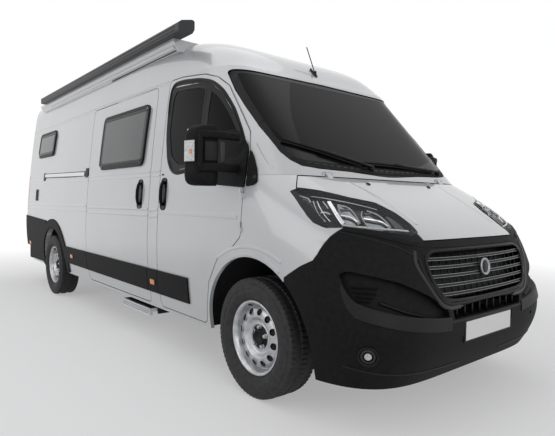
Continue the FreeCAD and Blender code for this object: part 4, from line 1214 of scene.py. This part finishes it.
def make_mirror(name, sign):
    """A two-part door mirror held by two flat arms, with its flashing lamp in the outer edge."""
    body = f"cab_door_{name}"
    plan = [(-1.112, 1.15), (-1.15, 1.14), (-1.252, 1.182), (-1.284, 1.258), (-1.266, 1.286), (-1.12, 1.23)]
    ring = rounded(plan, 0.03, True, 0.03)
    hold = (-1.125, 1.215)
    levels = [(1.263, 0.62), (1.267, 0.78), (1.276, 0.89), (1.292, 0.97), (1.32, 1.0), (1.384, 1.0),
              (1.387, 0.975), (1.393, 0.975), (1.396, 0.985), (1.53, 0.985), (1.56, 0.965), (1.585, 0.92),
              (1.604, 0.85), (1.618, 0.75), (1.626, 0.62)]
    points = []
    for z, scale in levels:
        for x, s in ring:
            spot = at(hold[0] + (x - hold[0]) * scale, hold[1] + (s - hold[1]) * (0.5 + scale / 2), z)
            points.append(Vector((-sign * spot.x, spot.y, spot.z)))
    head = new_piece(f"mirror_head_{name}", points, ring_faces(len(levels), len(ring)), textured, body, True)
    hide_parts(f"mirror_{name}")
    reach = [(0.985, 1.13), (1.03, 1.128), (1.08, 1.13), (1.12, 1.131), (1.155, 1.136), (1.205, 1.157),
             (1.235, 1.169)]
    for k, (z, height) in enumerate(((1.565, 0.046), (1.372, 0.052))):
        beam(f"mirror_arm_{name}_{k}", [at(sign * x, s, z) for x, s in reach], 0.034, height, textured, body)
    beam(f"mirror_post_{name}", [at(sign * 1.226, 1.166, z) for z in (1.37, 1.42, 1.5, 1.567)], 0.03, 0.034,
         textured, body)
    beam(f"mirror_pad_{name}", [at(sign * x, s, 1.468) for x, s in ((1.135, 1.136), (1.165, 1.143),
         (1.205, 1.16))], 0.018, 0.12, trim, body)
    # A lighter grey strip at the mirror's foot: a painted highlight.
    beam(f"mirror_bright_{name}", [at(sign * x, s, 1.468) for x, s in ((1.068, 1.15), (1.098, 1.152))], 0.008,
         0.125, anthracite, body)
    lens = [(1.258, 1.186), (1.266, 1.2), (1.2795, 1.24), (1.2843, 1.262), (1.277, 1.268), (1.262, 1.235),
            (1.252, 1.195)]
    points = [at(sign * x, s, z) for z in (1.405, 1.53) for x, s in lens]
    softened(new_piece(f"mirror_lamp_{name}", points, ring_faces(2, len(lens)), frosted, body), 0.003)
    bar(f"mirror_flash_{name}", at(sign * 1.268 - 0.006, 1.203, 1.452),
        at(sign * 1.268 + 0.006, 1.225, 1.478), amber, body, 0.003)
    for k, (low, high) in enumerate(((1.285, 1.375), (1.41, 1.605))):
        pane = [(1.135, 1.2375), (1.25, 1.2815)]
        points = [at(sign * x, s + d, z) for d in (0.0, 0.006) for z in (low, high) for x, s in pane]
        softened(new_piece(f"mirror_glass_{name}_{k}", points, BLOCK_FACES, reflecting, body), 0.004)


for name, sign in SIDES:
    make_mirror(name, sign)


# Roof


def make_awning_ends():
    """The awning's end caps and the seams along its case."""
    low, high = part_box("awning")
    for k, y in enumerate((low.y + 0.001, high.y - 0.001)):
        out = -1 if k == 0 else 1
        section = [(-0.983, 2.412), (-0.983, 2.473), (-0.958, 2.49), (-0.873, 2.511), (-0.856, 2.503),
                   (-0.856, 2.448), (-0.874, 2.424)]
        ring = rounded(section, 0.012)
        middle = Vector((-0.92, 0, 2.462))
        grown = [middle + (Vector((x, 0, z)) - middle) * 1.02 for x, z in ring]
        points = [Vector((p.x, y - out * 0.045, p.z)) for p in grown] + [Vector((p.x, y, p.z)) for p in grown]
        softened(new_piece(f"awning_cap_{k}", points, ring_faces(2, len(ring)), trim), 0.004)
    for k, z in enumerate((2.43, 2.456)):
        path = [Vector((-0.9857, low.y + 0.06, z)), Vector((-0.9857, high.y - 0.06, z))]
        tube(f"awning_seam_{k}", path, 0.0015, trim, "van", 6)


def make_roof_rail():
    """The rail and the gutter under the awning."""
    path = rounded([(2.1, 2.352), (3.4, 2.35), (4.6, 2.346), (5.84, 2.34)], 0.2, False, 0.12)
    ribbon("roof_rail", path, right, flat_band(0.03, -0.002, 0.012, 0.004), paint)
    path = rounded([(2.1, 2.328), (3.4, 2.326)], 0.2, False, 0.12)
    ribbon("roof_gutter", path, right, flat_band(0.01, -0.002, 0.008, 0.002), grey_band)


def make_antenna_foot():
    """The aerial's leaning foot."""
    low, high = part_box("antenna")
    foot = Vector(((low.x + high.x) / 2, low.y + 0.03, low.z))
    rows = [(0.0, 0.045, 0.024, 0.0), (0.012, 0.04, 0.021, 0.004), (0.035, 0.026, 0.015, 0.014),
            (0.06, 0.014, 0.009, 0.026), (0.075, 0.007, 0.006, 0.032)]
    sides = 20
    points = []
    for z, long, wide, back in rows:
        for k in range(sides):
            angle = 2 * math.pi * k / sides
            points.append(foot + Vector((wide * math.cos(angle), long * math.sin(angle) + back, z)))
    new_piece("antenna_foot", points, ring_faces(len(rows), sides), trim, "van", True)


# A roof hatch's half width and its length
HATCH_HALF, HATCH_LENGTH = 0.3, 0.48


def make_hatches():
    """The two domed roof hatches."""
    low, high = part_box("roof_hatches")
    lengths = [(low.y, low.y + HATCH_LENGTH), (high.y - HATCH_LENGTH, high.y)]
    for k, (start, end) in enumerate(lengths):
        middle = (start + end) / 2
        ring = rectangle(-HATCH_HALF, start, HATCH_HALF, end, 0.05, 0.1)
        rows = [(0.0, 0.0), (0.012, 0.0), (0.016, 0.012), (0.02, 0.045), (0.046, 0.055), (0.055, 0.09),
                (0.058, 0.16)]
        points = []
        for z, inward in rows:
            across, along = 1 - inward / HATCH_HALF, 1 - inward / (HATCH_LENGTH / 2)
            points += [Vector((x * across, middle + (y - middle) * along, low.z + z)) for x, y in ring]
        faces = ring_faces(len(rows), len(ring), False) + [last_row(len(rows), len(ring))]
        dome = new_piece(f"hatch_{k}", points, faces, acrylic, "van", True)
        if k == 0:
            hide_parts("roof_hatches")


make_awning_ends()
make_roof_rail()
make_antenna_foot()
make_hatches()


# Rear


REAR_WINDOW = [(0.11, 1.43), (0.11, 1.98), (0.635, 1.98), (0.67, 1.43)]


def make_rear():
    """Window frames, creases, lamp strips, reflectors, handle, plate and bumper ribs."""
    for name, sign in SIDES:
        onto = mirrored(on_back, sign)
        body = f"rear_door_{name}"
        middle = (0.39, 1.7)
        ribbon(f"rear_window_frame_{name}", rounded(inset(REAR_WINDOW, -0.006, middle), 0.05, True, 0.04),
               onto, flat_band(0.04, -0.008, 0.003, 0.002), gloss, body, True)
        for k, z in enumerate((1.3, 0.9, 2.08)):
            ribbon(f"rear_crease_{name}_{k}", [(0.05, z), (0.25, z), (0.5, z), (0.74, z)], onto,
                   [(-0.02, -0.001), (-0.006, 0.0025), (0.006, 0.0022), (0.02, -0.001)], paint, body)
        side = on_side(sign)
        for k, (low, high, material) in enumerate(((1.02, 1.1, clear), (1.115, 1.2, amber),
                                                  (1.38, 1.47, amber))):
            outline = rectangle(6.268, low, 6.3, high, 0.006)
            panel(f"lamp_strip_{name}_{k}", outline, side, 0.0, 0.003, material)
        reflector = rectangle(0.66, 0.4, 0.8, 0.45, 0.008)
        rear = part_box("rear_bumper")[1].y
        points = [Vector((sign * x, rear - 0.003 * d, z)) for d in (1, 0) for x, z in reflector]
        new_piece(f"rear_reflector_{name}", points, ring_faces(2, len(reflector)), red)

    handle("rear_handle", -0.07, 1.12, on_back, "rear_door_right")
    plate_seat = rectangle(0.1, 0.98, 0.66, 1.12, 0.012)
    panel("rear_plate_seat", plate_seat, on_back, -0.001, 0.003, trim, "rear_door_left")
    plate = rectangle(0.12, 0.995, 0.64, 1.105, 0.006)
    panel("rear_plate", plate, on_back, 0.002, 0.0045, white_plate, "rear_door_left")
    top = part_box("rear_bumper")[1]
    for k in range(6):
        y = top.y - 0.02 - 0.014 * k
        bar(f"bumper_rib_{k}", (-0.62, y - 0.003, top.z - 0.002), (0.62, y + 0.003, top.z + 0.003), textured,
            "van", 0.0015)


make_rear()


# Inside


def power(value, exponent):
    """A power that keeps the sign."""
    return math.copysign(abs(value) ** exponent, value)


# How square a pad is at its edge, in plan and on top, how its sides draw in, and its seams
EDGE_POWER, PLAN_POWER, TOP_POWER = 0.35, 0.3, 0.5
WAIST, SEAM_DEPTH, SEAM_WIDTH = 0.03, 0.1, 0.05


def cushion(name, low, high, crown, material, body, seams=(), tilt=0.0):
    """A crowned pad in a box, its sides pulled in between corners, with sewn channels across it."""
    centre = [(a + b) / 2 for a, b in zip(low, high)]
    half = [(b - a) / 2 for a, b in zip(low, high)]
    rows, columns = 36, 48
    points = []
    for i in range(rows + 1):
        v = math.pi * (i / rows - 0.5)
        for k in range(columns):
            u = 2 * math.pi * k / columns
            x = power(math.cos(v), EDGE_POWER) * power(math.cos(u), PLAN_POWER)
            y = power(math.cos(v), EDGE_POWER) * power(math.sin(u), PLAN_POWER)
            z = power(math.sin(v), TOP_POWER)
            pull = crown * (1 - x * x) * (1 - y * y)
            x *= 1 - WAIST * (1 - z * z) * math.cos(y * math.pi / 2)
            y *= 1 - WAIST * (1 - z * z) * math.cos(x * math.pi / 2)
            for seam in seams:
                z *= 1 - SEAM_DEPTH * math.exp(-((y - seam) / SEAM_WIDTH) ** 2) * abs(z)
            z = z * (1 - crown) + math.copysign(pull, z)
            points.append(Vector((centre[0] + half[0] * x, centre[1] + half[1] * y, centre[2] + half[2] * z)))
    if tilt:
        pivot = Vector((centre[0], high[1], low[2]))
        turn = Matrix.Translation(pivot) @ Matrix.Rotation(tilt, 4, "X") @ Matrix.Translation(-pivot)
        points = [turn @ point for point in points]
    pad = new_piece(name, points, ring_faces(rows + 1, columns, False), material, body, True)
    return pad


def make_seats():
    """The two cab seats."""
    for side, sign in SIDES:
        low_x, high_x = sorted((sign * 0.24, sign * 0.74))
        pad = cushion(f"seat_pad_{side}", at(low_x, 1.565, 0.79), at(high_x, 2.085, 0.9), 0.18, cloth, "van",
                      (-0.35, 0.3))
        cushion(f"seat_back_{side}", at(low_x, 2.03, 0.9), at(high_x, 2.16, 1.4), 0.2, cloth, "van", (),
                -0.14)
        middle = sign * 0.49
        low, high = at(middle - 0.13, 2.13, 1.41), at(middle + 0.13, 2.22, 1.56)
        cushion(f"head_rest_{side}", low, high, 0.2, cloth, "van", (), -0.1)
        low, high = at(middle - 0.2, 1.62, 0.56), at(middle + 0.2, 2.05, 0.79)
        bar(f"seat_base_{side}", low, high, plastic, "van", 0.01)
        if side == "right":
            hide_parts("cab_seats")


def make_mattress():
    """The padded mattress."""
    low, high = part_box("mattress")
    pad = cushion("mattress_pad", low, high, 0.05, bedding, "van", (-0.6, -0.2, 0.2, 0.6), 0.0)
    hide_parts("mattress")


def make_step():
    """The step's mat, edges and ribs."""
    low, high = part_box("step_tread")
    bar("step_mat", (low.x + 0.016, low.y + 0.012, high.z - 0.002),
        (high.x - 0.01, high.y - 0.012, high.z + 0.0012), textured, "step", 0.002)
    for k in range(3):
        z = low.z + (high.z - low.z) * (0.25 + 0.25 * k)
        path = [Vector((low.x - 0.0008, y, z)) for y in (low.y + 0.01, high.y - 0.01)]
        tube(f"step_edge_{k}", path, 0.0018, trim, "step", 8)
    for k in range(5):
        x = low.x + 0.03 + 0.026 * k
        bar(f"step_rib_{k}", (x - 0.004, low.y + 0.03, high.z - 0.003),
            (x + 0.004, high.y - 0.03, high.z + 0.002), textured, "step", 0.0015)


make_seats()
make_mattress()
make_step()

scene.view_settings.view_transform = "Standard"
